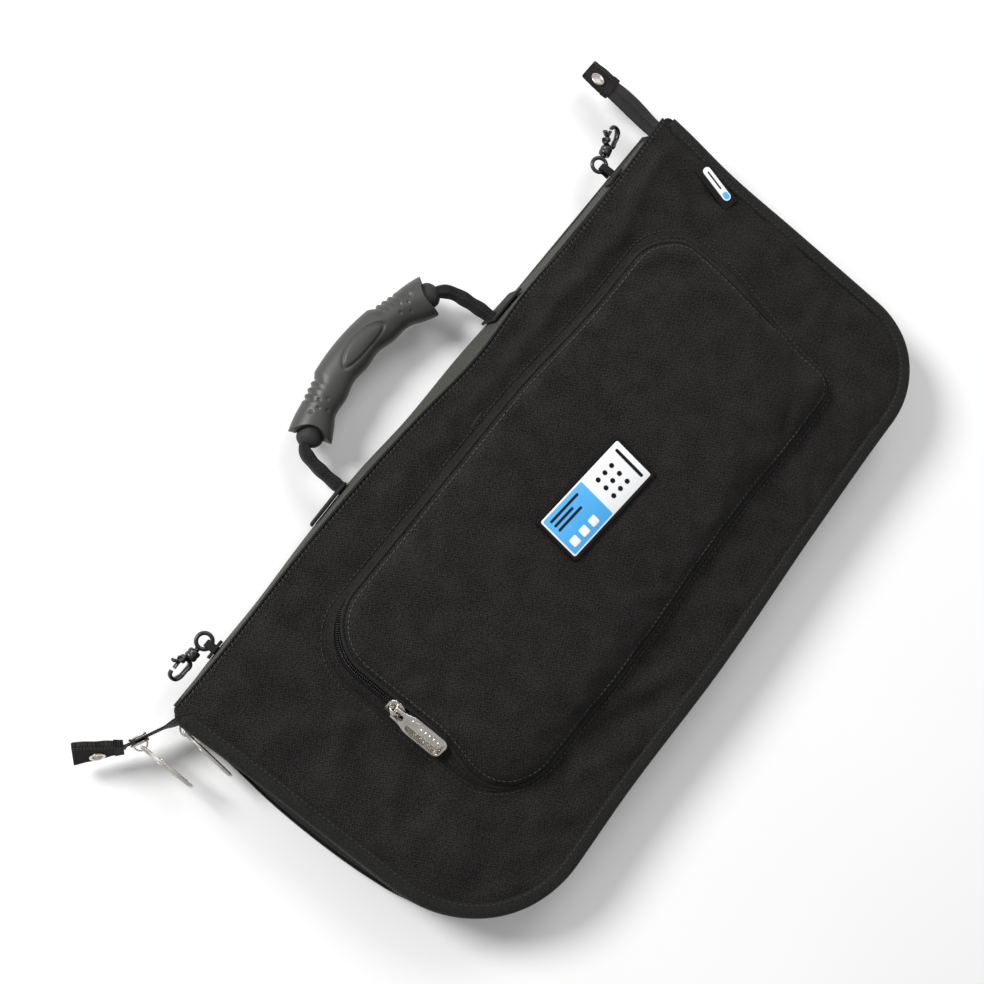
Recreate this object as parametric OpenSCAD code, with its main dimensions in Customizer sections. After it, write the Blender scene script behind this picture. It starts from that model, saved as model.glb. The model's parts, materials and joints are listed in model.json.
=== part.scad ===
// Zip-round stick bag, lying flat on its back.
// Origin: middle of the back's outer face. +X runs along the spine towards the side tag,
// +Y points at the spine and the handle, +Z at the front pocket.

/* [Body] */
// Length of the bag along the spine
body_l = 470; // [440:5:520]
// Depth from the far zipper edge to the spine
body_d = 236; // [220:2:260]
// Thickness of the closed main compartment
body_h = 40; // [36:1:48]
// Radius of the far corner at the tail end
far_left_r = 76; // [50:1:80]
// Radius of the far corner at the tag end
far_right_r = 56; // [45:1:70]
// Corner radius at the two spine corners
spine_r = 6; // [5:0.5:8]
// Thickness of one layer of the woven cover cloth
cloth_t = 1.4; // [1.2:0.1:1.6]
// Width of the flat binding tape round the panels
binding_w = 9; // [7:0.5:11]
// Thickness of the foam padding in each panel
foam_t = 4; // [3:0.5:5]

/* [Main zipper] */
// Width of the zipper tape that shows between the two halves
main_gap_w = 10; // [8:1:14]
// Radius of one coil of the main zipper
coil_r = 1.2; // [1:0.1:1.3]

/* [Front pocket] */
// Height of the pocket above the front panel
pocket_h = 18; // [16:1:22]
// Left edge of the pocket's base
pocket_x0 = -163; // [-170:1:-155]
// Right edge of the pocket's base
pocket_x1 = 182; // [170:1:185]
// Far edge of the pocket's base
pocket_y0 = -76; // [-84:1:-60]
// Spine-side edge of the pocket's base
pocket_y1 = 85; // [78:1:90]
// Where the pocket's mouth folds back, just past the label
fold_y = 30; // [29:0.5:33]
// Height of the pocket zipper above the front panel
pocket_zip_h = 9.5; // [9:0.5:10.5]

/* [Handle] */
// Middle of the handle along the spine
handle_x = -7; // [-12:1:5]
// Radius of the curve that the grip follows
grip_bend_r = 139; // [120:1:170]
// Half the angle of that curve
grip_half_a = 22.5; // [20:0.5:25]
// Outer radius of the moulded grip
grip_r = 11; // [10:0.5:12]
// Distance from the spine to the middle of the grip
grip_reach = 51; // [46:1:60]

/* [Small parts] */
// Length of each zipper pull
pull_l = 36; // [30:1:40]
// Width of each zipper pull
pull_w = 13; // [11:0.5:14]
// Radius of the hole through each tail eyelet
eyelet_r = 2.8; // [2.4:0.1:3.2]
// Width of the tail tapes
tail_w = 17; // [16:0.5:20]
// Length of the front label
label_l = 72.5; // [60:0.5:80]
// Height of the front label
label_d = 33; // [26:0.5:34]

/* [Hidden] */
$fn = 48;

cloth = [0.13, 0.13, 0.13];
trim = [0.09, 0.09, 0.09];
coil_black = [0.05, 0.05, 0.05];
nickel = [0.82, 0.82, 0.80];
grip_grey = [0.30, 0.30, 0.29];
inside_grey = [0.35, 0.35, 0.36];
eps = 0.05;      // overlap that welds two shapes of one solid
play = 0.25;     // gap between pieces that move past each other

half_l = body_l / 2;
half_d = body_d / 2;
split_h = body_h / 2;                 // height of the main zipper
rim_t = 1.2;                          // thickness of the binding tape
skin_t = rim_t + cloth_t + 0.3;       // panel and binding together
tape_t = 0.9;                         // thickness of a zipper tape
lining_t = 0.8;
wall_in = rim_t + 0.2;                // side wall's distance inside the outline
tape_in = wall_in + cloth_t + 0.2;    // zipper tape's distance inside the outline
wall_h = split_h - skin_t - main_gap_w / 2 + 1;
coil_gap = 0.9;                       // half the gap that a slider's neck runs in
mouth_y = half_d - spine_r;           // the side walls stop here, short of the spine
hinge_y = half_d - 0.8;               // seam that the front cover turns on
hinge_z = body_h - 0.8;
seam_r = 0.8;
seam_l = body_l - 2 * spine_r - 12;

pocket_run = 15;                      // how far each pocket side leans inwards
pocket_z = body_h;
pocket_top = body_h + pocket_h;
pocket_slope = atan2(pocket_h, pocket_run);
zip_z = body_h + pocket_zip_h;
zip_x = pocket_x0 + pocket_run * pocket_zip_h / pocket_h;
zip_end_y = 14;                       // the pocket zipper's two lower ends
slider_y = 23.5;                      // parked place of the pocket slider
pocket_cloth = 1.6;

label_x = 9.5;
label_y = 8.2;
label_turn = -5;      // the label is sewn on a little askew
label_z = pocket_top;

grip_y = half_d + grip_reach;         // middle of the grip
bend_y = grip_y - grip_bend_r;        // centre of the grip's curve
strap_out = 4;                        // how far the core's ends show past the grip, in degrees
strap_t = 8;
strap_w = 14;
handle_pivot_y = half_d + 11;
handle_pivot_z = split_h;
core_r = 8.2;
core_half_a = grip_half_a + strap_out;
strap_half_gap = (grip_bend_r + core_r) * sin(core_half_a) + strap_t / 2;

// ---------- shared shapes ----------

// Rectangle with a radius for each corner: [low x low y, high x low y, high x high y, low x high y]
module rounded_area(x0, x1, y0, y1, r) {
    polygon([[x0 + r[0], y0], [x1 - r[1], y0], [x1, y0 + r[1]], [x1, y1 - r[2]],
             [x1 - r[2], y1], [x0 + r[3], y1], [x0, y1 - r[3]], [x0, y0 + r[0]]]);
    translate([x0 + r[0], y0 + r[0]]) circle(r[0], $fn = 96);
    translate([x1 - r[1], y0 + r[1]]) circle(r[1], $fn = 96);
    translate([x1 - r[2], y1 - r[2]]) circle(r[2], $fn = 96);
    translate([x0 + r[3], y1 - r[3]]) circle(r[3], $fn = 96);
}

// The bag's outline, moved inwards by inset
module body_area(inset) {
    near = max(spine_r - inset, 1);
    rounded_area(-half_l + inset, half_l - inset, -half_d + inset, half_d - inset,
                 [far_left_r - inset, far_right_r - inset, near, near]);
}

// Upright band between two insets of the outline
module body_ring(inset_a, inset_b, z0, z1) {
    translate([0, 0, z0]) linear_extrude(z1 - z0) difference() {
        body_area(inset_a);
        body_area(inset_b);
    }
}

module body_slab(inset, z0, z1) {
    translate([0, 0, z0]) linear_extrude(z1 - z0) body_area(inset);
}

// Everything on the far side of the line y = limit
module before(limit) {
    intersection() {
        children();
        translate([-half_l - 1, -half_d - 1, -1])
            cube([body_l + 2, limit + half_d + 1, pocket_top + 10]);
    }
}

// Everything on the spine side of the line y = limit
module beyond(limit) {
    intersection() {
        children();
        translate([-half_l - 1, limit, -1]) cube([body_l + 2, half_d + 1 - limit, pocket_top + 10]);
    }
}

module box_between(a, b) {
    translate(a) cube(b - a);
}

// Bar with rounded edges along X, centred
module round_bar(l, w, t) {
    r = min(w, t) / 2;
    rotate([90, 0, 90]) linear_extrude(l, center = true)
        rounded_area(-w / 2, w / 2, -t / 2, t / 2, [r, r, r, r] * 0.98);
}

// ---------- back half ----------

module back_panel() color(cloth) union() {
    body_slab(binding_w + 0.1, 0, rim_t + 0.1 + eps);
    body_slab(wall_in, rim_t + 0.1, skin_t);
    beyond(mouth_y) body_slab(wall_in, 0, skin_t);
}

// L-shaped tape over the edge between panel and side wall
module binding(z_face, z_turn, flip) {
    before(mouth_y) {
        body_ring(0, binding_w, min(z_face, z_face + flip * rim_t),
                  max(z_face, z_face + flip * rim_t));
        body_ring(0, rim_t, min(z_face, z_turn), max(z_face, z_turn));
    }
}

module back_binding() color(trim) binding(0, binding_w * 0.7, 1);

module back_side_wall() color(cloth)
    before(mouth_y) body_ring(wall_in, wall_in + cloth_t, skin_t, skin_t + wall_h);

module back_foam() color(inside_grey)
    body_slab(binding_w, skin_t, skin_t + foam_t);

module back_lining() color(inside_grey)
    body_slab(tape_in + tape_t + 0.6, skin_t + foam_t, skin_t + foam_t + lining_t);

// Half of a zipper chain round the bag: tape and its coil
module half_chain(z_tape, z_coil_lo, z_coil_hi) {
    before(mouth_y) {
        body_ring(tape_in, tape_in + tape_t, min(z_tape, z_coil_lo), max(z_tape, z_coil_hi));
        body_ring(wall_in, tape_in + coil_r, z_coil_lo, z_coil_hi);
    }
}

module back_zip_tape() color(coil_black)
    half_chain(skin_t + wall_h - 5, split_h - coil_gap - coil_r, split_h - coil_gap);

// Sheet held up by stitched dividers, open at the tag end
module stick_sleeve() color(inside_grey) {
    floor_z = skin_t + foam_t + lining_t;
    channel_h = 15.5;
    x0 = -half_l + 40;
    x1 = 60;
    y0 = -half_d + 24;
    y1 = half_d - 20;
    channels = 4;
    pitch = (y1 - y0) / channels;
    union() {
        box_between([x0, y0, floor_z + channel_h], [x1, y1, floor_z + channel_h + 1]);
        for (i = [0:channels])
            box_between([x0, y0 + i * pitch - 0.6, floor_z],
                        [x1, y0 + i * pitch + 0.6, floor_z + channel_h + eps]);
        box_between([x0, y0 - 0.6, floor_z], [x0 + 1.2, y1 + 0.6, floor_z + channel_h + 1]);
    }
}

module spine_panel() color(cloth)
    beyond(mouth_y + 0.5) difference() {
        body_ring(0, cloth_t, 0, hinge_z - seam_r - play);
        body_slab(-1, -1, skin_t + 0.05);
    }

// Ribbed webbing sewn along the outside of the spine
module spine_webbing() color(trim) {
    band_l = body_l - 2 * spine_r - 20;
    rib_pitch = 2.4;
    union() {
        translate([-band_l / 2, half_d, 6]) cube([band_l, 1, body_h - 12]);
        for (i = [0:floor((body_h - 14) / rib_pitch)])
            translate([-band_l / 2, half_d + 0.5, 7 + i * rib_pitch])
                cube([band_l, 1, rib_pitch / 2]);
    }
}

// Folded strap ends sewn to the spine, with a short root for each handle strap
root_h = 5.2;
module handle_anchors() color(trim)
    for (side = [-1, 1]) {
        x = handle_x + side * strap_half_gap;
        union() {
            translate([x + side * 11 - 15, half_d + 1.5, handle_pivot_z - 11]) cube([30, 2.2, 22]);
            translate([x - strap_t / 2, half_d + 1.5, handle_pivot_z - root_h / 2])
                difference() {
                    cube([strap_t, 6, root_h]);
                    translate([-1, handle_pivot_y - half_d - 1.5, root_h / 2]) rotate([0, 90, 0])
                        cylinder(r = strap_w / 2 + play, h = strap_t + 2);
                }
        }
    }

// ---------- front cover ----------

// Panel with a round bead on the hinge line
module front_panel() color(cloth) union() {
    before(hinge_y) {
        body_slab(binding_w + 0.1, body_h - rim_t - 0.1 - eps, body_h);
        beyond(mouth_y) body_slab(wall_in, body_h - 2 * seam_r, body_h);
    }
    before(mouth_y + 3) body_slab(wall_in, body_h - skin_t, body_h - rim_t - 0.1);
    translate([-seam_l / 2, hinge_y, hinge_z]) rotate([0, 90, 0]) cylinder(r = seam_r, h = seam_l);
}

module front_binding() color(trim) binding(body_h, body_h - binding_w * 0.7, -1);

module front_side_wall() color(cloth) before(mouth_y)
    body_ring(wall_in, wall_in + cloth_t, body_h - skin_t - wall_h, body_h - skin_t);

module front_foam() color(inside_grey)
    body_slab(binding_w, body_h - skin_t - foam_t, body_h - skin_t);

module front_lining() color(inside_grey)
    body_slab(tape_in + tape_t + 0.6, body_h - skin_t - foam_t - lining_t, body_h - skin_t - foam_t);

// Flat pocket for small tools on the inside of the cover, open towards the spine
module cover_pocket() color(inside_grey) {
    top_z = body_h - skin_t - foam_t - lining_t;
    gap = 2;
    translate([-150, -88, top_z - gap - 1]) cube([300, 150, 1]);
    for (x = [-150, 148]) translate([x, -88, top_z - gap - eps]) cube([2, 150, gap + eps]);
    translate([-150, -88, top_z - gap - eps]) cube([300, 2, gap + eps]);
}

module front_zip_tape() color(coil_black)
    half_chain(body_h - skin_t - wall_h + 5, split_h + coil_gap, split_h + coil_gap + coil_r);

// ---------- front pocket ----------

// The pocket's filled shape: leaning sides, and a far side that rolls down to its seam
module pocket_solid(inset) {
    far_run = pocket_run + 3;
    near_run = 3;
    hull() {
        translate([0, 0, pocket_z]) linear_extrude(0.01)
            rounded_area(pocket_x0 + inset, pocket_x1 - inset, pocket_y0 + inset,
                         pocket_y1 - inset, [24, 14, 34, 34]);
        translate([0, 0, pocket_top - inset - 0.01]) linear_extrude(0.01)
            rounded_area(pocket_x0 + pocket_run + inset / 2, pocket_x1 - pocket_run - inset / 2,
                         pocket_y0 + far_run + inset, pocket_y1 - near_run - inset,
                         [24, 14, 30, 30]);
    }
}

// Skin of the pocket between two depths below its surface
module pocket_skin(depth_a, depth_b) {
    difference() {
        pocket_solid(depth_a);
        pocket_solid(depth_b);
        translate([pocket_x0, pocket_y0, pocket_z - 1])
            cube([pocket_x1 - pocket_x0, pocket_y1 - pocket_y0, 1]);
    }
}

zip_window = 3.6;     // half the width of the pocket zipper that shows

// Fixed part: the far half of the pocket and the low wall under the zipper
module pocket_pouch() color(cloth) intersection() {
    pocket_skin(0, pocket_cloth);
    union() {
        box_between([pocket_x0 - 1, pocket_y0 - 1, pocket_z],
                    [pocket_x1 + 1, zip_end_y, pocket_top + 1]);
        box_between([pocket_x0 - 1, pocket_y0 - 1, zip_z + zip_window],
                    [pocket_x1 + 1, fold_y - play, pocket_top + 1]);
        box_between([pocket_x0 - 1, pocket_y0 - 1, pocket_z],
                    [pocket_x1 + 1, pocket_y1 + 1, zip_z - zip_window]);
    }
}

// Swinging part: the pocket's face next to the spine and the wall above the zipper
module pocket_flap() color(cloth) intersection() {
    pocket_skin(0, pocket_cloth);
    box_between([pocket_x0 - 1, fold_y + play, zip_z + zip_window],
                [pocket_x1 + 1, pocket_y1 + 1, pocket_top + 1]);
}

tape_depth = pocket_cloth + 0.15;

module pocket_zip_tape() color(coil_black) intersection() {
    pocket_skin(tape_depth, tape_depth + tape_t);
    union() {
        box_between([pocket_x0, zip_end_y - 8, zip_z - 9],
                    [pocket_x1, pocket_y1, zip_z - coil_gap]);
        for (side = [0, 1])
            box_between([side ? 0 : pocket_x0, zip_end_y - 8, zip_z + coil_gap],
                        [side ? pocket_x1 : 0, fold_y - play, zip_z + 6]);
    }
}

module flap_zip_tape() color(coil_black) intersection() {
    pocket_skin(tape_depth, tape_depth + tape_t);
    box_between([pocket_x0, fold_y + play, zip_z + coil_gap],
                [pocket_x1, pocket_y1, zip_z + 6]);
}

// Places its children on the pocket's leaning left side: X up the slope, Z outwards
module on_pocket_side(y) {
    translate([zip_x, y, zip_z]) rotate([0, -pocket_slope, 0]) children();
}

plate_l = 11;
plate_w = 11;
plate_t = 1.3;
neck_t = 1.2;
bail_r = 4.4;
bail_t = 1.1;
bail_w = 2.4;
pull_lift = 1.85;      // the pull's crossbar above the outer plate

// Slider: outer plate, neck in the gap of the chain, inner plate, and the bail for the pull.
// Y is the direction of travel and Z points outwards.
module slider_shape(clear_out, clear_in, neck_turn) {
    neck_l = clear_out + clear_in + 2 * plate_t + 1;
    union() {
        translate([0, 0, clear_out + plate_t / 2]) rotate([0, 0, 90])
            round_bar(plate_l, plate_w, plate_t);
        rotate([0, neck_turn, 0]) translate([-neck_t / 2, 1, -clear_in - plate_t - 0.5])
            cube([neck_t, 3.6, neck_l]);
        translate([-plate_w / 2, -plate_l / 2, -clear_in - plate_t]) cube([plate_w, plate_l, plate_t]);
        translate([0, 0, clear_out + plate_t - eps]) bail();
    }
}

// Arched bridge along the slider
module bail() {
    difference() {
        translate([-bail_w / 2, 0, 0]) rotate([0, 90, 0]) cylinder(r = bail_r, h = bail_w);
        translate([-bail_w, 0, 0]) rotate([0, 90, 0])
            cylinder(r = bail_r - bail_t, h = 2 * bail_w);
        translate([-bail_r, -bail_r - 1, -2 * bail_r]) cube([2 * bail_r, 2 * bail_r + 2, 2 * bail_r]);
    }
}

// Flat tapered pull with a slot for the bail. Its crossbar lies on the X axis, and it
// hangs towards -Y.
module pull_shape() {
    slot_l = 6;
    slot_w = 4.6;
    neck_w = pull_w * 0.62;
    round_r = 3;
    pull_t = 1.8;
    difference() {
        union() {
            translate([0, 0, -pull_t / 2]) linear_extrude(pull_t) polygon([
                [-neck_w / 2, 0], [neck_w / 2, 0], [neck_w / 2, -3],
                [pull_w / 2, -12], [pull_w / 2, -pull_l + round_r], [pull_w / 2 - round_r, -pull_l],
                [-pull_w / 2 + round_r, -pull_l], [-pull_w / 2, -pull_l + round_r],
                [-pull_w / 2, -12], [-neck_w / 2, -3]]);
            for (corner = [-1, 1])
                translate([corner * (pull_w / 2 - round_r), -pull_l + round_r, -pull_t / 2])
                    cylinder(r = round_r, h = pull_t);
            translate([-neck_w / 2, 0, 0]) rotate([0, 90, 0]) cylinder(r = pull_t / 2, h = neck_w);
        }
        translate([-slot_w / 2, -slot_l, -2]) cube([slot_w, slot_l - pull_t / 2, 4]);
        translate([-pull_w / 2 + 2, -pull_l + 4, 0.5]) cube([pull_w - 4, pull_l - 16, 1]);
    }
}

pocket_clear = 1.2;

module pocket_slider() color(nickel)
    on_pocket_side(slider_y) slider_shape(pocket_clear, tape_depth + tape_t, pocket_slope - 90);

pull_roll = pocket_slope - 10;        // the pull lies a little flatter than the pocket's side

module pocket_pull() color(nickel) {
    out = pocket_clear + plate_t + pull_lift;
    translate([zip_x - sin(pocket_slope) * out, slider_y, zip_z + cos(pocket_slope) * out])
        rotate([0, -pull_roll, 0]) pull_shape();
}

// ---------- label and side tag ----------

label_t = 2.4;
label_rim = 1.7;

module at_label() translate([label_x, label_y, label_z]) rotate([0, 0, label_turn]) children();
inset_t = 0.8;

module label_patch() color(trim) at_label() difference() {
    linear_extrude(label_t) rounded_area(-label_l / 2, label_l / 2, -label_d / 2, label_d / 2,
                                         [2, 2, 2, 2]);
    translate([-label_l / 2 + label_rim, -label_d / 2 + label_rim, label_t - inset_t])
        cube([label_l - 2 * label_rim, label_d - 2 * label_rim, 2]);
}

module label_inset(x0, x1) {
    at_label() translate([x0, -label_d / 2 + label_rim + 0.05, label_t - inset_t])
        cube([x1 - x0, label_d - 2 * label_rim - 0.1, inset_t - 0.1]);
}

module label_left_inset() color([0.35, 0.68, 0.85])
    label_inset(-label_l / 2 + label_rim + 0.05, -0.5);

module label_right_inset() color([0.92, 0.93, 0.94])
    label_inset(0.5, label_l / 2 - label_rim - 0.05);

tag_tilt = -12;

module on_tag() {
    translate([218, 66, body_h]) rotate([0, 0, tag_tilt]) children();
}

module side_tag() color(trim) on_tag() linear_extrude(1.2)
    rounded_area(-6.5, 6.5, -16, 16, [1, 1, 1, 1]);

module side_tag_badge() color([0.9, 0.92, 0.94]) on_tag() translate([2, 1, 1.2]) linear_extrude(0.8)
    rounded_area(-2.7, 2.7, -12.4, 12.4, [2.6, 2.6, 2.6, 2.6]);

// ---------- handle ----------

// Sweeps its 2D children along the grip's curve, flat in the XY plane
module along_grip(half_a) {
    translate([handle_x, bend_y, handle_pivot_z]) rotate([0, 0, 90 - half_a])
        rotate_extrude(angle = 2 * half_a, $fn = 180) translate([grip_bend_r, 0]) children();
}

module handle_grip() color(grip_grey) along_grip(grip_half_a) difference() {
    circle(grip_r);
    circle(core_r + 0.1);
}

module handle_core() color(trim) difference() {
    along_grip(core_half_a) circle(core_r);
    along_grip(core_half_a + 1) square([3.2, 10.2], center = true);
}

module handle_strap() color(trim) union() {
    along_grip(core_half_a + 3) square([3, 10], center = true);
    for (side = [-1, 1]) {
        x = handle_x + side * strap_half_gap;
        top_y = bend_y + grip_bend_r * cos(core_half_a);
        translate([x - strap_t / 2, handle_pivot_y, handle_pivot_z - strap_w / 2])
            cube([strap_t, top_y - handle_pivot_y + 3, strap_w]);
        translate([x - strap_t / 2, handle_pivot_y, handle_pivot_z]) rotate([0, 90, 0])
            cylinder(r = strap_w / 2, h = strap_t);
    }
}

// ---------- zipper tails ----------

// Two strips with a gap between them for the slider's neck, along +X from the origin.
// Y is the strip's thickness and Z its width.
module tail_chain(l) {
    strip = tail_w / 2 - coil_gap;
    for (side = [-1, 1])
        translate([0, -tape_t / 2, side > 0 ? coil_gap : -tail_w / 2]) cube([l, tape_t, strip]);
    for (side = [-1, 1])
        translate([0, 0, side * (coil_gap + 0.9)]) rotate([0, 90, 0]) cylinder(r = 0.9, h = l);
    translate([0, -tape_t / 2, -tail_w / 2]) cube([1.2, tape_t, tail_w]);
    translate([l - 1.5, -tape_t / 2, -tail_w / 2]) cube([1.5, tape_t, tail_w]);
}

end_t = 3.4;
eyelet_off = -4.4;   // eyelet's place off the middle of a tail end

// Folded cloth end of length l and width w, along +X, with a hole for the eyelet at eye from
// its inner edge
module tail_end_shape(l, w, eye) {
    rotate([90, 0, 0]) translate([0, 0, -end_t / 2]) difference() {
        linear_extrude(end_t) rounded_area(0, l, -w / 2, w / 2, [1, 1, 1, 1]);
        translate([eye, eyelet_off, -1]) cylinder(r = eyelet_r + 0.7, h = end_t + 2);
    }
}

module eyelet_shape(eye) {
    flange_r = eyelet_r + 1.9;
    lip = 0.8;
    rotate([90, 0, 0]) translate([eye, eyelet_off, 0]) rotate_extrude() polygon([
        [eyelet_r, -end_t / 2 - lip], [flange_r, -end_t / 2 - lip], [flange_r, -end_t / 2],
        [eyelet_r + 0.6, -end_t / 2], [eyelet_r + 0.6, end_t / 2], [flange_r, end_t / 2],
        [flange_r, end_t / 2 + lip], [eyelet_r, end_t / 2 + lip]]);
}

left_root = [-half_l - 1.5, half_d - 6, split_h];
left_turn = 154;      // heading of the left tail
left_l = 31;
left_end_turn = 136;
left_end_lean = 25;
left_end_l = 26;
left_end_w = 20.5;
left_eye = 13;

module at_left_tail() {
    translate(left_root) rotate([0, 0, left_turn]) children();
}

module at_left_end() {
    at_left_tail() translate([left_l + 0.2, 0, 0])
        rotate([0, 0, left_end_turn - left_turn]) rotate([left_end_lean, 0, 0])
            translate([1.2, 0, 0]) children();
}

module left_tail_tape() color(coil_black) at_left_tail() tail_chain(left_l);
module left_tail_end() color(cloth) at_left_end() tail_end_shape(left_end_l, left_end_w, left_eye);
module left_eyelet() color(nickel) at_left_end() eyelet_shape(left_eye);

right_root = [half_l - 3.5, half_d + 1.2, split_h];
right_l = 34;
right_lean = 24;      // the right tail's outer edge dips
right_end_l = 19;
right_end_w = 18.5;
right_eye = 10;

module at_right_tail() {
    translate(right_root) rotate([0, right_lean, 0]) rotate([0, 0, 90]) rotate([90, 0, 0]) children();
}

module at_right_end() {
    at_right_tail() translate([right_l + 0.2, 0, 0]) children();
}

module right_tail_tape() color(coil_black) at_right_tail() tail_chain(right_l);
module right_tail_end() color(cloth) at_right_end() tail_end_shape(right_end_l, right_end_w, right_eye);
module right_eyelet() color(nickel) at_right_end() eyelet_shape(right_eye);

// ---------- main sliders on the left tail ----------

tail_clear = 1.3;
slider_a_y = half_d - spine_r - 7.5;  // parked places of the two main sliders
slider_b_at = 22;
pull_a_swing = -5;

// Places its children on the bag's left side: Y along the side, Z outwards
module on_left_side(y) {
    translate([-half_l + wall_in, y, split_h]) rotate([0, -90, 0]) children();
}

// Places its children on the left tail: Y along the tail, Z out of the face next to the bag
module on_left_tail(at) {
    at_left_tail() translate([at, 0, 0]) rotate([-90, -90, 0]) children();
}

module main_slider_a() color(nickel)
    on_left_side(slider_a_y) slider_shape(0.8, tape_in - wall_in + coil_r + 0.3, 0);
module main_slider_b() color(nickel)
    on_left_tail(slider_b_at) slider_shape(tail_clear, tail_clear, 0);

// Both main pulls hang towards -Y, edge up
module main_pull_a() color(nickel)
    translate([-half_l + wall_in - 0.8 - plate_t - pull_lift, slider_a_y, split_h])
        rotate([0, 0, pull_a_swing]) rotate([0, 90, 0]) pull_shape();

module main_pull_b() color(nickel) {
    out = tail_clear + plate_t + pull_lift;
    at_left_tail() translate([slider_b_at, 0, 0]) rotate([0, 0, -left_turn])
        translate([-out * sin(180 - left_turn), -out * cos(180 - left_turn), 0])
            rotate([0, 90, 0]) pull_shape();
}

// ---------- snap hooks ----------

hook_y = half_d + 10.5;
hook_z = split_h + 2;
left_hook_x = -192;
right_hook_x = 186;
left_hook_turn = 178;
right_hook_turn = 14;
hook_roll = 40;      // the hooks are turned on their swivels, gates up
ring_r = 4.6;
wire_r = 1.3;

// Short cloth loops that hold the hooks' eyes to the spine
module hook_loops() color(trim)
    for (x = [left_hook_x, right_hook_x])
        translate([x, half_d + 1.5, hook_z]) {
            wire_y = hook_y - half_d - 1.5 - ring_r;
            difference() {
                union() {
                    translate([-6, 0, -5]) cube([12, 2, 10]);
                    translate([-1.6, 0, -3.5]) cube([3.2, wire_y + 3, 7]);
                }
                translate([-3, wire_y - wire_r, -wire_r - play])
                    cube([6, 2 * wire_r + 0.6, 2 * (wire_r + play)]);
            }
        }

// Flat ring with a post for the swivel, along +X
module hook_eye() {
    difference() {
        cylinder(r = ring_r + wire_r - 0.2, h = 2 * wire_r - 0.2, center = true);
        cylinder(r = ring_r - wire_r + 0.2, h = 4 * wire_r, center = true);
    }
    translate([ring_r + 0.5, 0, 0]) rotate([0, 90, 0]) cylinder(r = 1.6, h = 5);
    translate([ring_r + 4.6, 0, 0]) rotate([0, 90, 0]) cylinder(r = 2.4, h = 1.2);
}

hook_start = ring_r + 2.4;
hook_l = 21;
hook_w = 10.4;
hook_t = 4.2;
bar = 2.8;
gate_x = 8;

// Swivelling hook: collar round the post, back bar and nose, open on the side of the gate
module hook_body() {
    x0 = hook_start;
    x1 = hook_start + 6;
    difference() {
        union() {
            translate([x0, 0, 0]) rotate([0, 90, 0]) cylinder(r = 3.6, h = 6);
            translate([x1 - eps, 0, -hook_t / 2]) linear_extrude(hook_t) difference() {
                rounded_area(0, hook_l - 6, -hook_w / 2, hook_w / 2, [1, 5, 5, 1]);
                rounded_area(2, hook_l - 6 - bar, -hook_w / 2 + bar, hook_w / 2 - bar, [1, 2, 2, 1]);
                translate([2, hook_w / 2 - bar - eps]) square([gate_x, bar + 1]);
            }
        }
        translate([x0 - 1, 0, 0]) rotate([0, 90, 0]) cylinder(r = 1.6 + 0.1, h = 4);
        translate([ring_r + 4.4, 0, 0]) rotate([0, 90, 0]) cylinder(r = 2.4 + 0.15, h = 2);
    }
}

gate_pivot_x = hook_start + 6 + 2 + 1.3;

// Spring gate with its thumb tab
module hook_gate() {
    y = hook_w / 2 - bar / 2;
    translate([gate_pivot_x, y, 0]) union() {
        cylinder(r = 1.05, h = hook_t - 0.4, center = true);
        translate([0, -0.9, -hook_t / 2 + 0.3]) cube([gate_x - 2.2, 1.8, hook_t - 0.6]);
        translate([1.6, 0, -1.2]) cube([1.8, 4.6, 2.4]);
    }
}

module at_hook(x, turn) {
    translate([x, hook_y, hook_z]) rotate([0, 0, turn]) children();
}

module on_left_swivel() {
    at_hook(left_hook_x, left_hook_turn) rotate([-hook_roll, 0, 0]) mirror([0, 1, 0]) children();
}

module on_right_swivel() {
    at_hook(right_hook_x, right_hook_turn) rotate([hook_roll, 0, 0]) children();
}

module left_hook_eye() color(coil_black) at_hook(left_hook_x, left_hook_turn) hook_eye();
module left_hook_body() color(coil_black) on_left_swivel() hook_body();
module left_hook_gate() color(coil_black) on_left_swivel() hook_gate();
module right_hook_eye() color(coil_black) at_hook(right_hook_x, right_hook_turn) hook_eye();
module right_hook_body() color(coil_black) on_right_swivel() hook_body();
module right_hook_gate() color(coil_black) on_right_swivel() hook_gate();

back_panel();
back_binding();
back_side_wall();
back_foam();
back_lining();
back_zip_tape();
stick_sleeve();
spine_panel();
spine_webbing();
handle_anchors();
hook_loops();
front_panel();
front_binding();
front_side_wall();
front_foam();
front_lining();
cover_pocket();
front_zip_tape();
pocket_pouch();
pocket_zip_tape();
side_tag();
side_tag_badge();
label_patch();
label_left_inset();
label_right_inset();
pocket_flap();
flap_zip_tape();
pocket_slider();
pocket_pull();
handle_grip();
handle_core();
handle_strap();
left_tail_tape();
left_tail_end();
left_eyelet();
right_tail_tape();
right_tail_end();
right_eyelet();
main_slider_a();
main_slider_b();
main_pull_a();
main_pull_b();
left_hook_eye();
left_hook_body();
left_hook_gate();
right_hook_eye();
right_hook_body();
right_hook_gate();
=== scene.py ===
import json
import math

import bpy
import numpy as np
from mathutils import Matrix, Vector, noise
from mathutils.bvhtree import BVHTree
from mathutils.geometry import delaunay_2d_cdt


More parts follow.
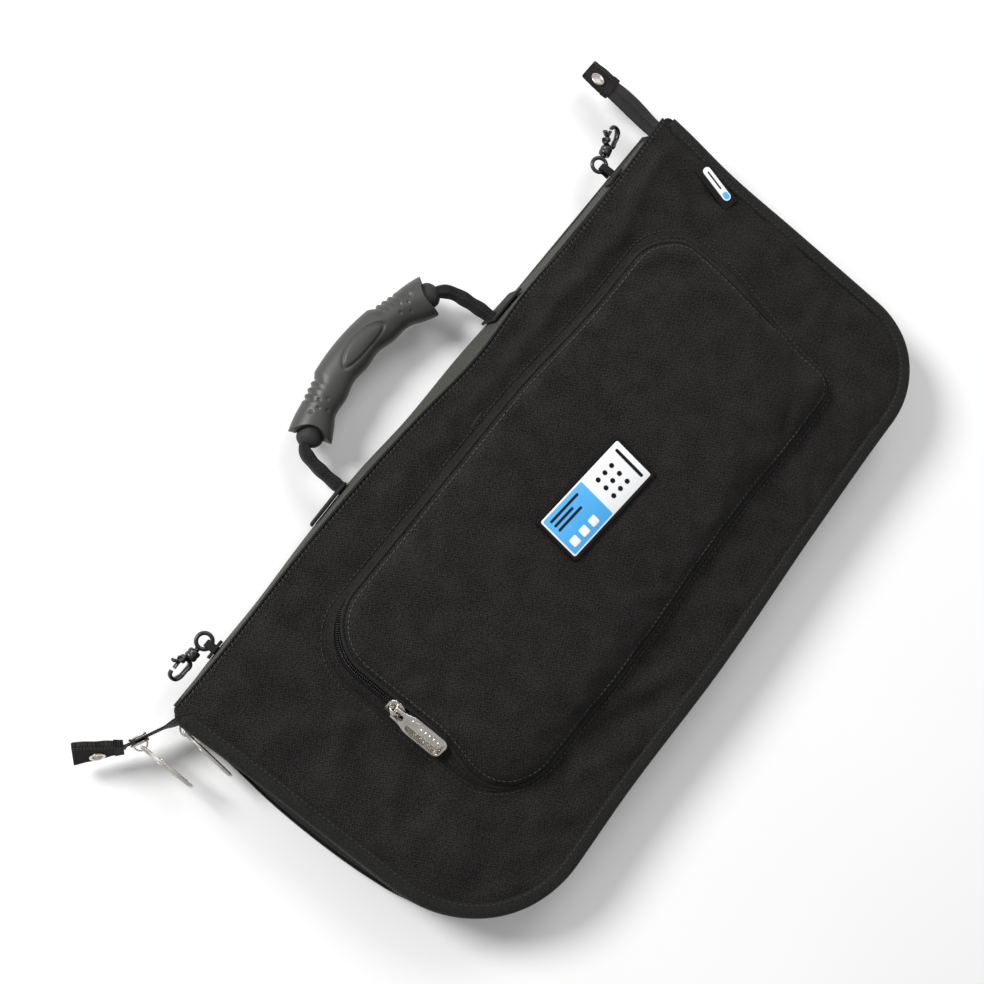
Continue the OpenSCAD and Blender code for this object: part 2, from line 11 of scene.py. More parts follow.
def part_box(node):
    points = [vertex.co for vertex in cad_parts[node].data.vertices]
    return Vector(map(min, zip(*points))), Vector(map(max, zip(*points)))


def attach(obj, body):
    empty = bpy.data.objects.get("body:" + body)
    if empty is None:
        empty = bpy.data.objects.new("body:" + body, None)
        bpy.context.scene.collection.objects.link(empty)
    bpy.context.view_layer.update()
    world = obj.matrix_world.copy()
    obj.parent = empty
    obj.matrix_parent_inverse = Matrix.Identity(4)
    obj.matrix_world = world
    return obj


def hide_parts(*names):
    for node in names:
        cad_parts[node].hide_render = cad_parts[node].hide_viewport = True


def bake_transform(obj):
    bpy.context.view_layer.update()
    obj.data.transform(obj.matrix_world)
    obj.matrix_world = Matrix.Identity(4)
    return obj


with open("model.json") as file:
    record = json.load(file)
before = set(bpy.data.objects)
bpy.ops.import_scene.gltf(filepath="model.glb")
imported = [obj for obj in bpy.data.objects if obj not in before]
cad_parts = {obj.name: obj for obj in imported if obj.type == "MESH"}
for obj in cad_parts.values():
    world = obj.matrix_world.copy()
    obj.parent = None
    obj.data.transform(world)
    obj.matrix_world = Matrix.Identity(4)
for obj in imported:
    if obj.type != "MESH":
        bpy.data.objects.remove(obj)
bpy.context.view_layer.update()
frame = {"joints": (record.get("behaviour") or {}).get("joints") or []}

MM = 0.001
JOINTS = {j["name"]: j for j in frame["joints"]}


def corners(node):
    """Lowest and highest corner of a CAD node, in millimetres."""
    lo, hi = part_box(node)
    return np.array(lo) / MM, np.array(hi) / MM


def pivot(joint):
    return np.array(JOINTS[joint]["pos_m"]) / MM


# ------------------------------------------------------------------ sizes

rim_lo, rim_hi = corners("front_binding")
HALF_L = rim_hi[0]
FAR_Y = rim_lo[1]
MOUTH_Y = rim_hi[1]
TOP_Z = rim_hi[2]
MID_Z = TOP_Z / 2
SPINE_Y = corners("spine_panel")[1][1]
SPINE_R = SPINE_Y - MOUTH_Y
FAR_LEFT_R = 76
FAR_RIGHT_R = 56

pouch_lo, pouch_hi = corners("pocket_pouch")
FLAP_TOP = corners("pocket_flap")[1][2]
HINGE = pivot("cover_hinge")
FOLD = pivot("flap_fold")


# ------------------------------------------------------------------ small maths

def smooth(t):
    t = np.clip(t, 0, 1)
    return t * t * (3 - 2 * t)


def unit(v):
    v = np.asarray(v, float)
    return v / np.maximum(np.linalg.norm(v, axis=-1, keepdims=True), 1e-9)


def through(knots, x):
    """Smooth curve through (x, value) knots."""
    kx, ky = np.array(knots, float).T
    slope = np.gradient(ky, kx)
    x = np.clip(np.asarray(x, float), kx[0], kx[-1])
    i = np.clip(np.searchsorted(kx, x, side="right") - 1, 0, len(kx) - 2)
    h = kx[i + 1] - kx[i]
    t = (x - kx[i]) / h
    return ((2 * t**3 - 3 * t**2 + 1) * ky[i] + (t**3 - 2 * t**2 + t) * h * slope[i]
            + (3 * t**2 - 2 * t**3) * ky[i + 1] + (t**3 - t**2) * h * slope[i + 1])


def ridge(x, y, a, b, width):
    """1 on the segment a-b, falling off over width to its sides and past its ends."""
    a, b = np.array(a, float), np.array(b, float)
    d = b - a
    t = np.clip(((x - a[0]) * d[0] + (y - a[1]) * d[1]) / (d @ d), 0, 1)
    gap = np.hypot(x - a[0] - t * d[0], y - a[1] - t * d[1])
    return np.exp(-((gap / width) ** 2))


def ripple(x, y, size, seed=0.0):
    """Slow noise from -1 to 1."""
    return np.array([noise.noise(Vector((p / size, q / size, seed))) for p, q in zip(x, y)])


def points_at(*coordinates):
    """Points from their coordinates, each an array or one number."""
    return np.stack(np.broadcast_arrays(*coordinates), -1)


def spaced(path, step):
    """The path's points set again at even steps."""
    path = np.asarray(path, float)
    along = np.r_[0, np.cumsum(np.linalg.norm(np.diff(path, axis=0), axis=1))]
    count = max(int(round(along[-1] / step)), 2)
    at = np.linspace(0, along[-1], count + 1)
    return np.stack([np.interp(at, along, path[:, k]) for k in range(path.shape[1])], 1)


def turned(points, centre, degrees):
    """Points in the XY plane turned about centre."""
    c, s = math.cos(math.radians(degrees)), math.sin(math.radians(degrees))
    p = np.asarray(points, float) - centre
    return points_at(p[:, 0] * c - p[:, 1] * s, p[:, 0] * s + p[:, 1] * c) + centre


# ------------------------------------------------------------------ meshes

def make(name, verts, faces, uv=None, wrap=None):
    """A Blender mesh from millimetre points. uv is in millimetres along the cloth, one per
    vertex; wrap is the length at which it runs round."""
    mesh = bpy.data.meshes.new(name)
    mesh.from_pydata((np.asarray(verts, float) * MM).tolist(), [], [list(map(int, f)) for f in faces])
    mesh.update()
    if uv is not None:
        loops = np.zeros(len(mesh.loops), np.int32)
        mesh.loops.foreach_get("vertex_index", loops)
        coords = np.asarray(uv, float)[loops]
        if wrap:
            starts = np.array([p.loop_start for p in mesh.polygons])
            totals = np.array([p.loop_total for p in mesh.polygons])
            high = np.repeat(np.maximum.reduceat(coords[:, 0], starts), totals)
            coords[:, 0] += np.where(high - coords[:, 0] > wrap / 2, wrap, 0)
        layer = mesh.uv_layers.new(name="weave")
        layer.data.foreach_set("uv", coords.astype(np.float32).ravel())
    mesh.polygons.foreach_set("use_smooth", [True] * len(mesh.polygons))
    obj = bpy.data.objects.new(name, mesh)
    bpy.context.scene.collection.objects.link(obj)
    return obj


def bake(obj):
    """Applies the object's modifiers."""
    dg = bpy.context.evaluated_depsgraph_get()
    mesh = bpy.data.meshes.new_from_object(obj.evaluated_get(dg), preserve_all_data_layers=True,
                                           depsgraph=dg)
    obj.modifiers.clear()
    obj.data = mesh
    return obj


def thicken(obj, thickness):
    """Gives a sheet its thickness, on its inner side."""
    mod = obj.modifiers.new("solid", "SOLIDIFY")
    mod.thickness = thickness * MM
    mod.offset = -1
    return bake(obj)


def refine(obj):
    mod = obj.modifiers.new("finer", "SUBSURF")
    mod.levels = mod.render_levels = 1
    return bake(obj)


def rounded(obj, width, segments=2):
    mod = obj.modifiers.new("edges", "BEVEL")
    mod.width = width * MM
    mod.segments = segments
    mod.limit_method = "ANGLE"
    mod.angle_limit = math.radians(35)
    bake(obj)
    obj.data.set_sharp_from_angle(angle=math.radians(48))
    return obj


def points_of(obj):
    co = np.zeros(len(obj.data.vertices) * 3)
    obj.data.vertices.foreach_get("co", co)
    return co.reshape(-1, 3) / MM


def set_points(obj, points):
    obj.data.vertices.foreach_set("co", (np.asarray(points) * MM).ravel())
    obj.data.update()


def grid_faces(rows, cols, close_cols=False, close_rows=False):
    i = np.arange(rows if close_rows else rows - 1)
    j = np.arange(cols if close_cols else cols - 1)
    i, j = [a.ravel() for a in np.meshgrid(i, j, indexing="ij")]
    k, m = (i + 1) % rows, (j + 1) % cols
    return np.stack([i * cols + j, i * cols + m, k * cols + m, k * cols + j], 1).tolist()


def loft(name, rings, closed=True, ends="open", flip=False):
    """Skin over rings of equal counts. ends is open, cap or join (last ring to the first)."""
    rings = np.asarray(rings, float)
    rows, cols = rings.shape[:2]
    faces = grid_faces(rows, cols, closed, ends == "join")
    if ends == "cap":
        faces.append(list(range(cols))[::-1])
        faces.append([(rows - 1) * cols + j for j in range(cols)])
    if flip:
        faces = [f[::-1] for f in faces]
    middle = rings[rows // 2]
    around = np.r_[0, np.cumsum(np.linalg.norm(np.diff(middle, axis=0), axis=1))]
    across = np.r_[0, np.cumsum(np.linalg.norm(np.diff(rings, axis=0), axis=2).mean(1))]
    u, v = np.meshgrid(around, across)
    wrap = around[-1] + np.linalg.norm(middle[0] - middle[-1]) if closed else None
    return make(name, rings.reshape(-1, 3), faces, points_at(u.ravel(), v.ravel()), wrap)


def rings_along(path, section, up, closed=False):
    """Section rings set square to a path. section is (n, 2) or one per path point; its
    first axis lies to the right of the path when up points up."""
    path = np.asarray(path, float)
    ahead = np.roll(path, -1, 0) - np.roll(path, 1, 0)
    if not closed:
        ahead[0], ahead[-1] = path[1] - path[0], path[-1] - path[-2]
    ahead = unit(ahead)
    up = np.broadcast_to(np.asarray(up, float), path.shape)
    side = unit(np.cross(ahead, up))
    lift = np.cross(side, ahead)
    section = np.asarray(section, float)
    if section.ndim == 2:
        section = np.broadcast_to(section, (len(path),) + section.shape)
    return path[:, None] + side[:, None] * section[..., :1] + lift[:, None] * section[..., 1:]


def sweep(name, path, section, up=(0, 0, 1), closed=False):
    rings = rings_along(path, section, up, closed)
    return loft(name, rings, True, "join" if closed else "cap", flip=True)


def oval(rx, ry, n=10):
    a = np.arange(n) * 2 * math.pi / n
    return points_at(rx * np.cos(a), ry * np.sin(a))


def strap_section(width, thickness):
    """Flat band with rounded edges."""
    r = thickness / 2
    a = np.linspace(-math.pi / 2, math.pi / 2, 5)
    right = points_at(width / 2 - r + r * np.cos(a), r * np.sin(a))
    top = points_at(np.linspace(width / 2 - r, r - width / 2, 7)[1:-1], r)
    return np.vstack([right, top, -right, -top])


def merged(name, parts):
    """One mesh from several, as separate shells."""
    keep = parts[0]
    with bpy.context.temp_override(active_object=keep, selected_editable_objects=parts):
        bpy.ops.object.join()
    keep.name = keep.data.name = name
    return keep


def copies(name, verts, faces, places):
    """One mesh of many copies: places are (origin, 3x3 axes as rows) pairs."""
    verts = np.asarray(verts, float)
    all_verts, all_faces = [], []
    for k, (origin, axes) in enumerate(places):
        all_verts.append(verts @ np.asarray(axes) + origin)
        all_faces += [[i + k * len(verts) for i in f] for f in faces]
    points = np.vstack(all_verts)
    return make(name, points, all_faces, points[:, :2])


def capsule(length, width, height):
    """Rounded thread, along X."""
    sides = 6
    spans = [(-0.5, 0.35), (-0.3, 0.95), (0, 1.0), (0.3, 0.95), (0.5, 0.35)]
    ring = oval(width / 2, height / 2, sides)
    verts = [(x * length, r * p, r * q) for x, r in spans for p, q in ring]
    faces = grid_faces(len(spans), sides, True)
    faces = [f[::-1] for f in faces]
    faces.append(list(range(sides)))
    faces.append([(len(spans) - 1) * sides + j for j in range(sides)][::-1])
    return np.array(verts), faces


def stitches(name, path, normals, pitch=3.2, length=2.3, width=0.75, slant=0.0):
    """A row of threads along a path that lies on a surface."""
    rows = spaced(np.hstack([path, np.broadcast_to(np.asarray(normals, float), path.shape)]), pitch)
    ahead = np.gradient(rows[:, :3], axis=0)
    verts, faces = capsule(length, width, 0.6)
    places = []
    for point, along, up in zip(rows[:, :3], unit(ahead), unit(rows[:, 3:])):
        side = unit(np.cross(up, along))
        if slant:
            along = unit(along * math.cos(slant) + side * math.sin(slant))
            side = np.cross(up, along)
        places.append((point + up * 0.1, np.stack([along, side, up])))
    return copies(name, verts, faces, places)


def coil(name, path, normals, across, out, pitch=1.5, wire=0.36):
    """Nylon zipper coil: a flattened spiral along the path."""
    rows = spaced(np.hstack([path, normals]), pitch / 8)
    centre, up = rows[:, :3], unit(rows[:, 3:])
    ahead = unit(np.gradient(centre, axis=0))
    side = unit(np.cross(up, ahead))
    turn = np.arange(len(rows)) * 2 * math.pi / 8
    spiral = (centre + side * (across * np.cos(turn))[:, None] + up * (out * np.sin(turn))[:, None])
    radial = side * np.cos(turn)[:, None] + up * np.sin(turn)[:, None]
    return sweep(name, spiral, oval(wire, wire, 5), radial)


def fill(outline, spacing, holes=()):
    """Even triangles over a flat outline. The outline's own points come first."""
    loops = [np.asarray(outline, float)] + [np.asarray(h, float) for h in holes]
    edges, start = [], 0
    for loop in loops:
        n = len(loop)
        edges += [(start + i, start + (i + 1) % n) for i in range(n)]
        start += n
    rim = np.vstack(loops)
    seg_a = rim[[e[0] for e in edges]]
    seg_d = rim[[e[1] for e in edges]] - seg_a

    def inside(points):
        y = points[:, 1:2]
        a, b = seg_a[:, 1], seg_a[:, 1] + seg_d[:, 1]
        crosses = (a <= y) != (b <= y)
        x_at = seg_a[:, 0] + (y - a) / np.where(seg_d[:, 1] == 0, 1e-9, seg_d[:, 1]) * seg_d[:, 0]
        return (crosses & (x_at > points[:, :1])).sum(1) % 2 == 1

    lo, hi = rim.min(0), rim.max(0)
    rows = np.arange(lo[1], hi[1], spacing * 0.866)
    lattice = np.array([(x, y) for k, y in enumerate(rows)
                        for x in np.arange(lo[0] + (k % 2) * spacing / 2, hi[0], spacing)])
    lattice = lattice[inside(lattice)]
    keep = []
    for chunk in np.array_split(lattice, max(len(lattice) // 2000, 1)):
        rel = chunk[:, None] - seg_a
        t = np.clip((rel * seg_d).sum(2) / np.maximum((seg_d**2).sum(1), 1e-9), 0, 1)
        gap = np.linalg.norm(rel - t[..., None] * seg_d, axis=2).min(1)
        keep.append(chunk[gap > spacing * 0.6])
    points = np.vstack([rim] + keep)
    found = delaunay_2d_cdt([Vector(p) for p in points], edges, [], 0, 1e-5)
    verts = np.array([v[:] for v in found[0]])
    tris = np.array(found[2])
    tris = tris[inside(verts[tris].mean(1))]
    return verts, tris.tolist()


def slab(name, outline, thickness, holes=(), edge=0.35, segments=2, spacing=1e6):
    """Flat plate of an outline with holes, centred on z = 0, its edges rounded. With spacing it
    gets inner points, so that it can be bent."""
    loops = [np.asarray(outline, float)] + [np.asarray(h, float) for h in holes]
    flat, tris = fill(outline, spacing, holes)
    n = len(flat)
    h = thickness / 2
    verts = np.vstack([np.c_[flat, np.full(n, h)], np.c_[flat, np.full(n, -h)]])
    faces = [list(t) for t in tris] + [[i + n for i in t[::-1]] for t in tris]
    start = 0
    for k, loop in enumerate(loops):
        for i in range(len(loop)):
            a, b = start + i, start + (i + 1) % len(loop)
            faces.append([a, a + n, b + n, b] if k == 0 else [b, b + n, a + n, a])
        start += len(loop)
    obj = make(name, verts, faces, verts[:, :2])
    return rounded(obj, edge, segments) if edge else obj


def lathe(name, profile, n=32):
    """Closed profile of (radius, height) points turned about Z."""
    profile = np.asarray(profile, float)
    a = np.arange(n) * 2 * math.pi / n
    rings = [points_at(profile[:, 0] * math.cos(t), profile[:, 0] * math.sin(t), profile[:, 1])
             for t in a]
    return loft(name, rings, True, "join")


def placed(obj, origin, x_axis, z_axis):
    """Moves a piece modelled about the origin so its X and Z lie along two directions."""
    z = unit(z_axis)
    x = unit(np.asarray(x_axis, float) - (np.asarray(x_axis, float) @ z) * z)
    axes = np.stack([x, np.cross(z, x), z])
    set_points(obj, points_of(obj) @ axes + np.asarray(origin, float))
    return obj


def surface_of(obj):
    dg = bpy.context.evaluated_depsgraph_get()
    return BVHTree.FromObject(obj, dg)


def drape(tree, points):
    """Drops (x, y) points onto a surface from above. Returns points and normals."""
    out, normals = [], []
    for x, y in np.asarray(points, float)[:, :2]:
        hit, normal, _, _ = tree.ray_cast(Vector((x * MM, y * MM, 0.2)), Vector((0, 0, -1)))
        if hit is None:
            hit, normal = Vector((x * MM, y * MM, TOP_Z * MM)), Vector((0, 0, 1))
        if normal.z < 0:
            normal = -normal
        out.append(np.array(hit) / MM)
        normals.append(np.array(normal))
    return np.array(out), np.array(normals)


def simulate(obj, pinned, frames, pressure, growth, cap):
    """Cloth simulation with some points pinned; no point moves further than cap."""
    start = points_of(obj)
    group = obj.vertex_groups.new(name="pinned")
    group.add([int(i) for i in pinned], 1.0, "REPLACE")
    mod = obj.modifiers.new("cloth", "CLOTH")
    cloth = mod.settings
    cloth.vertex_group_mass = "pinned"
    cloth.quality = 6
    cloth.mass = 0.25
    cloth.tension_stiffness = cloth.compression_stiffness = 12
    cloth.shear_stiffness = 6
    cloth.bending_stiffness = 0.6
    cloth.air_damping = 2
    cloth.shrink_min = -growth
    cloth.use_pressure = True
    cloth.uniform_pressure_force = pressure
    cloth.effector_weights.gravity = 0
    mod.collision_settings.use_collision = False
    mod.point_cache.frame_start = 1
    mod.point_cache.frame_end = frames
    for step in range(1, frames + 1):
        bpy.context.scene.frame_set(step)
    bake(obj)
    bpy.context.scene.frame_set(1)
    obj.vertex_groups.clear()
    moved = points_of(obj) - start
    length = np.linalg.norm(moved, axis=1, keepdims=True)
    set_points(obj, start + moved * np.minimum(1, cap / np.maximum(length, 1e-6)))
    return obj


def dress(obj, material, body=None, slot=None, stands_for=(), blend=None):
    """Material and body of a finished piece; slot is not used. blend is (body, body, start, end)."""
    obj.data.materials.clear()
    obj.data.materials.append(material)
    if blend:
        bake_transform(obj)
    else:
        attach(obj, body)
    if stands_for:
        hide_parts(*stands_for)
    return obj


def sew(name, path, up, body=None, thread=None, blend=None, **size):
    """A row of stitches as a piece of its own."""
    dress(stitches(name, path, up, **size), thread or THREAD, body, "binding_tape", blend=blend)


# ------------------------------------------------------------------ materials

def add(tree, kind, inputs=None, **settings):
    """A shader node. An input that is given another node's socket is linked to it."""
    node = tree.nodes.new(kind)
    for key, value in settings.items():
        setattr(node, key, value)
    for key, value in (inputs or {}).items():
        if isinstance(value, bpy.types.NodeSocket):
            tree.links.new(value, node.inputs[key])
        else:
            node.inputs[key].default_value = value
    return node


def calc(tree, operation, a, b=0.0):
    return add(tree, "ShaderNodeMath", {0: a, 1: b}, operation=operation).outputs[0]


def noise_of(tree, vector, scale, detail=3.0, rough=0.6):
    return add(tree, "ShaderNodeTexNoise", {"Vector": vector, "Scale": scale, "Detail": detail,
                                            "Roughness": rough}).outputs["Fac"]


def between(tree, factor, dark, light, low=0.3, high=0.7):
    """Colour ramp from dark to light."""
    ramp = add(tree, "ShaderNodeValToRGB", {"Fac": factor})
    ramp.color_ramp.elements[0].position = low
    ramp.color_ramp.elements[1].position = high
    ramp.color_ramp.elements[0].color = (*dark, 1)
    ramp.color_ramp.elements[1].color = (*light, 1)
    return ramp.outputs["Color"]


def new_material(name, **inputs):
    material = bpy.data.materials.new(name)
    material.use_nodes = True
    shader = material.node_tree.nodes["Principled BSDF"]
    for key, value in inputs.items():
        shader.inputs[key.replace("_", " ")].default_value = value
    return material, material.node_tree, shader


def bump(tree, shader, height, depth):
    node = add(tree, "ShaderNodeBump", {"Height": height, "Distance": depth * MM, "Strength": 1.0})
    tree.links.new(node.outputs["Normal"], shader.inputs["Normal"])


WEAVE_SHARE = 0.2                 # of a cloth's shade; slow patches take up to SLOW_SHARE
SLOW_SHARE = 0.3


def cloth(name, dark, light, thread=1.25, relief=0.16, rough=0.78, sheen=0.04, gloss=0.2,
          slow=0.5, ribs=False, tint=0.0):
    """Woven cloth: threads both ways, a fine speckle of fibres, and slow uneven shade."""
    material, tree, shader = new_material(name, Sheen_Weight=sheen, Sheen_Roughness=0.45,
                                          Specular_IOR_Level=gloss)
    uv = add(tree, "ShaderNodeUVMap", uv_map="weave").outputs["UV"]
    axes = add(tree, "ShaderNodeSeparateXYZ", {"Vector": uv}).outputs
    per_mm = 2 * math.pi / thread
    wobble = calc(tree, "MULTIPLY", noise_of(tree, uv, 0.12), 5.0)
    warp = calc(tree, "SINE", calc(tree, "MULTIPLY_ADD", axes[0], per_mm))
    weft = calc(tree, "SINE", calc(tree, "MULTIPLY_ADD", axes[1], per_mm))
    for wave in (warp, weft):
        tree.links.new(wobble, wave.node.inputs[0].links[0].from_node.inputs[2])
    weave = warp if ribs else calc(tree, "MULTIPLY", warp, weft)
    weave = calc(tree, "MULTIPLY_ADD", weave, 0.5)
    weave.node.inputs[2].default_value = 0.5
    speckle = noise_of(tree, uv, 0.95, 3.0, 0.8)
    patches = noise_of(tree, uv, 0.05, 5.0, 0.62)
    shade = calc(tree, "ADD", calc(tree, "MULTIPLY", weave, WEAVE_SHARE),
                 calc(tree, "MULTIPLY", speckle, 1.0 - WEAVE_SHARE - SLOW_SHARE * slow))
    shade = calc(tree, "ADD", shade, calc(tree, "MULTIPLY", patches, SLOW_SHARE * slow))
    colour = between(tree, shade, dark, light, 0.42, 0.61)
    warm = between(tree, noise_of(tree, uv, 0.11, 3.0, 0.7), (1.0, 0.97, 0.90), (1.0, 0.90, 0.97),
                   0.42, 0.58)
    tinted = add(tree, "ShaderNodeMix", {"Factor": tint, 6: colour, 7: warm}, data_type="RGBA",
                 blend_type="MULTIPLY")
    tree.links.new(tinted.outputs[2], shader.inputs["Base Color"])
    tree.links.new(calc(tree, "ADD", calc(tree, "MULTIPLY", speckle, 0.25), rough - 0.12),
                   shader.inputs["Roughness"])
    bump(tree, shader, calc(tree, "ADD", weave, speckle), relief)
    return material


def moulded(name, dark, light, rough, grain=0.05, scale=900.0, metallic=0.0, coat=0.0, slow=25.0,
            gloss=0.5):
    """Solid material with a fine surface grain and slow changes of shade and polish."""
    material, tree, shader = new_material(name, Metallic=metallic, Coat_Weight=coat,
                                          Coat_Roughness=0.2, Specular_IOR_Level=gloss)
    where = add(tree, "ShaderNodeTexCoord").outputs["Object"]
    shade = noise_of(tree, where, slow, 4.0, 0.6)
    fine = noise_of(tree, where, scale, 3.0, 0.6)
    tree.links.new(between(tree, shade, dark, light), shader.inputs["Base Color"])
    tree.links.new(calc(tree, "ADD", calc(tree, "MULTIPLY", shade, 0.22), rough - 0.11),
                   shader.inputs["Roughness"])
    bump(tree, shader, fine, grain)
    return material


COVER = cloth("cover_cloth", (0.0005, 0.0005, 0.0004), (0.0335, 0.032, 0.030), sheen=0.02,
              gloss=0.12, slow=0.5, tint=1.0)
TAPE = cloth("binding_tape", (0.0015, 0.0015, 0.0014), (0.024, 0.024, 0.022), thread=0.9,
             relief=0.12, slow=0.3)
ZIP_TAPE = cloth("zipper_tape", (0.003, 0.003, 0.003), (0.011, 0.011, 0.011), thread=0.8,
                 relief=0.1, ribs=True, gloss=0.35, rough=0.55, slow=0.2)
# Ribbed spine webbing: its lighter grey is partly the webbing's own colour and partly painted sheen of
# the glossy webbing
RIBBED = cloth("ribbed_webbing", (0.034, 0.036, 0.030), (0.085, 0.088, 0.075), thread=1.0,
               relief=0.1, slow=0.3)
STRAP = cloth("strap_webbing", (0.005, 0.005, 0.005), (0.022, 0.022, 0.021), thread=1.5,
              relief=0.25, slow=0.2)
LINING = cloth("lining_cloth", (0.030, 0.030, 0.031), (0.062, 0.062, 0.064), thread=0.7,
               relief=0.05, rough=0.6, sheen=0.05, gloss=0.45, slow=0.4)
FOAM = moulded("padding_foam", (0.020, 0.020, 0.021), (0.036, 0.036, 0.037), 0.95, 0.4, 700.0)
THREAD = moulded("sewing_thread", (0.010, 0.010, 0.010), (0.022, 0.022, 0.021), 0.6, 0.05, 3000.0)
PALE_THREAD = moulded("pale_thread", (0.026, 0.026, 0.025), (0.050, 0.050, 0.047), 0.6, 0.05, 3000.0)
COIL = moulded("zipper_coil", (0.006, 0.006, 0.006), (0.014, 0.014, 0.014), 0.32, 0.01, 2000.0)
NICKEL = moulded("nickel_plate", (0.62, 0.58, 0.53), (0.80, 0.77, 0.72), 0.27, 0.02, 700.0,
                 metallic=1.0, slow=160.0)
GRIP = moulded("grip_rubber", (0.030, 0.030, 0.027), (0.047, 0.047, 0.043), 0.46, 0.06, 1500.0)
CORE = moulded("handle_foam", (0.008, 0.0085, 0.008), (0.016, 0.017, 0.016), 0.7, 0.3, 600.0)
PLASTIC = moulded("hook_plastic", (0.006, 0.006, 0.006), (0.012, 0.012, 0.012), 0.33, 0.015, 900.0,
                  coat=0.15)
LABEL_RIM = moulded("label_rim", (0.004, 0.004, 0.0045), (0.008, 0.008, 0.0085), 0.5, 0.03, 900.0,
                    gloss=0.14)
LABEL_WHITE = moulded("label_white", (0.78, 0.79, 0.80), (0.86, 0.86, 0.87), 0.42, 0.01, 900.0)
LABEL_BLUE = moulded("label_blue", (0.060, 0.36, 0.74), (0.085, 0.42, 0.82), 0.42, 0.01, 900.0)


# ------------------------------------------------------------------ outlines

def rounded_loop(x0, x1, y0, y1, radii, counts):
    """Loop with a radius at each corner, anticlockwise from the top of the low-x side. counts
    are the points on each side and corner in turn."""
    fl, fr, nr, nl = radii

    def line(a, b, n):
        t = np.arange(n)[:, None] / n
        return np.array(a) * (1 - t) + np.array(b) * t

    def arc(cx, cy, r, start, n):
        a = np.radians(start + 90 * np.arange(n) / n)
        return points_at(cx + r * np.cos(a), cy + r * np.sin(a))

    return np.vstack([
        line((x0, y1 - nl), (x0, y0 + fl), counts[0]),
        arc(x0 + fl, y0 + fl, fl, 180, counts[1]),
        line((x0 + fl, y0), (x1 - fr, y0), counts[2]),
        arc(x1 - fr, y0 + fr, fr, 270, counts[3]),
        line((x1, y0 + fr), (x1, y1 - nr), counts[4]),
        arc(x1 - nr, y1 - nr, nr, 0, counts[5]),
        line((x1 - nr, y1), (x0 + nl, y1), counts[6]),
        arc(x0 + nl, y1 - nl, nl, 90, counts[7])])


BODY_COUNTS = (40, 28, 80, 22, 40, 4, 108, 4)
MOUTH = sum(BODY_COUNTS[:5])      # the two ends of the main zipper are points 0 and MOUTH


def body_loop(inset):
    near = max(SPINE_R - inset, 1)
    return rounded_loop(-HALF_L + inset, HALF_L - inset, FAR_Y + inset, SPINE_Y - inset,
                        [FAR_LEFT_R - inset, FAR_RIGHT_R - inset, near, near], BODY_COUNTS)


def zip_sides(inset, z):
    """Path along the three zipped sides."""
    path = body_loop(inset)[:MOUTH + 1]
    return np.c_[path, np.broadcast_to(z, len(path))]


# How the soft outline leaves its straight lines, as (place, offset) knots
FRONT_SPINE_EDGE = [(-235, 0), (-204, -0.6), (-112, 1.0), (-16, -2.0), (33, -6.0), (85, -3.4),
                    (137, -4.6), (200, -2.4), (235, -0.5)]
FRONT_FAR_EDGE = [(-235, 0), (-161, 0), (-113, 1), (-14, -1), (90, 1.8), (177, 2.6), (235, 1)]
FRONT_RIGHT_EDGE = [(-118, -0.5), (-40, -1.2), (10, -2), (64, -2.8), (100, -0.5), (118, 0)]
FRONT_LEFT_EDGE = [(-118, 1), (-58, 1.4), (0, 0.8), (63, 0.2), (112, -1.6)]
BACK_LEFT_EDGE = [(-118, 0.5), (-58, 0), (-17, -3.4), (40, -3.4), (75, -0.5), (112, 0)]
SPINE_OUT = [(-235, -2.5), (-203, 0.7), (-157, 1.6), (-110, 3.8), (-62, 4.4), (-12, 1.3),
             (39, 0.2), (91, -1.9), (145, -4.6), (200, -3.0), (235, -3.5)]


def settle_front(points):
    p = np.array(points, float)
    x, y = p[..., 0].copy(), p[..., 1].copy()
    p[..., 1] += through(FRONT_SPINE_EDGE, x) * smooth((y - 88) / 24)
    p[..., 1] += through(FRONT_FAR_EDGE, x) * smooth((-y - 84) / 30)
    p[..., 0] += through(FRONT_RIGHT_EDGE, y) * smooth((x - 190) / 40)
    p[..., 0] += through(FRONT_LEFT_EDGE, y) * smooth((-x - 190) / 40)
    return p


def settle_back(points):
    """Works on points modelled the same way up as the front, and eases off at the zipper."""
    p = np.array(points, float)
    x, y = p[..., 0].copy(), p[..., 1].copy()
    ease = smooth((p[..., 2] - MID_Z - 5) / 9)
    p[..., 0] += through(BACK_LEFT_EDGE, y) * smooth((-x - 200) / 32) * ease
    p[..., 1] -= 1.2 * np.sin(x / 61 + 1) ** 2 * smooth((-y - 90) / 24) * ease
    return p


def seat(points, front):
    """Sets points modelled the front's way up onto one half of the bag."""
    if front:
        return settle_front(points)
    points = settle_back(points)
    points[..., 2] = TOP_Z - points[..., 2]
    return points


FOLD_DEPTH = 1.35
# Folds of the front cover: from, to, width, height
FOLDS = [
    ((-60, 101), (55, 99), 7, 1.0),        # long fold beside the spine
    ((55, 99), (150, 95), 7, 2.0),
    ((150, 95), (212, 108), 8, 2.2),       # and on to the corner by the tag
    ((10, 109), (120, 107), 5, -0.7),
    ((216, 104), (192, 78), 7, 1.2),
    ((-98, -78), (-52, -101), 6.5, -2.0),  # puckers below the pocket
    ((-118, -84), (-84, -106), 5.5, 1.5),
    ((-74, -76), (-30, -98), 5.5, 1.5),
    ((-44, -74), (-6, -92), 7, -1.0),
    ((-150, -98), (-139, -108), 5, -1.6),
    ((-180, -98), (-168, -104), 6, -1.6),
    ((-205, -88), (-188, -96), 6, 1.0),
    ((-221, -30), (-217, -6), 7, 1.0),
    ((222, -50), (224, -22), 6, -1.0),
    ((212, -84), (220, -66), 6, 1.2),
    ((150, -88), (176, -92), 7, 0.9),
    ((190, 20), (206, 52), 10, 0.9),
]


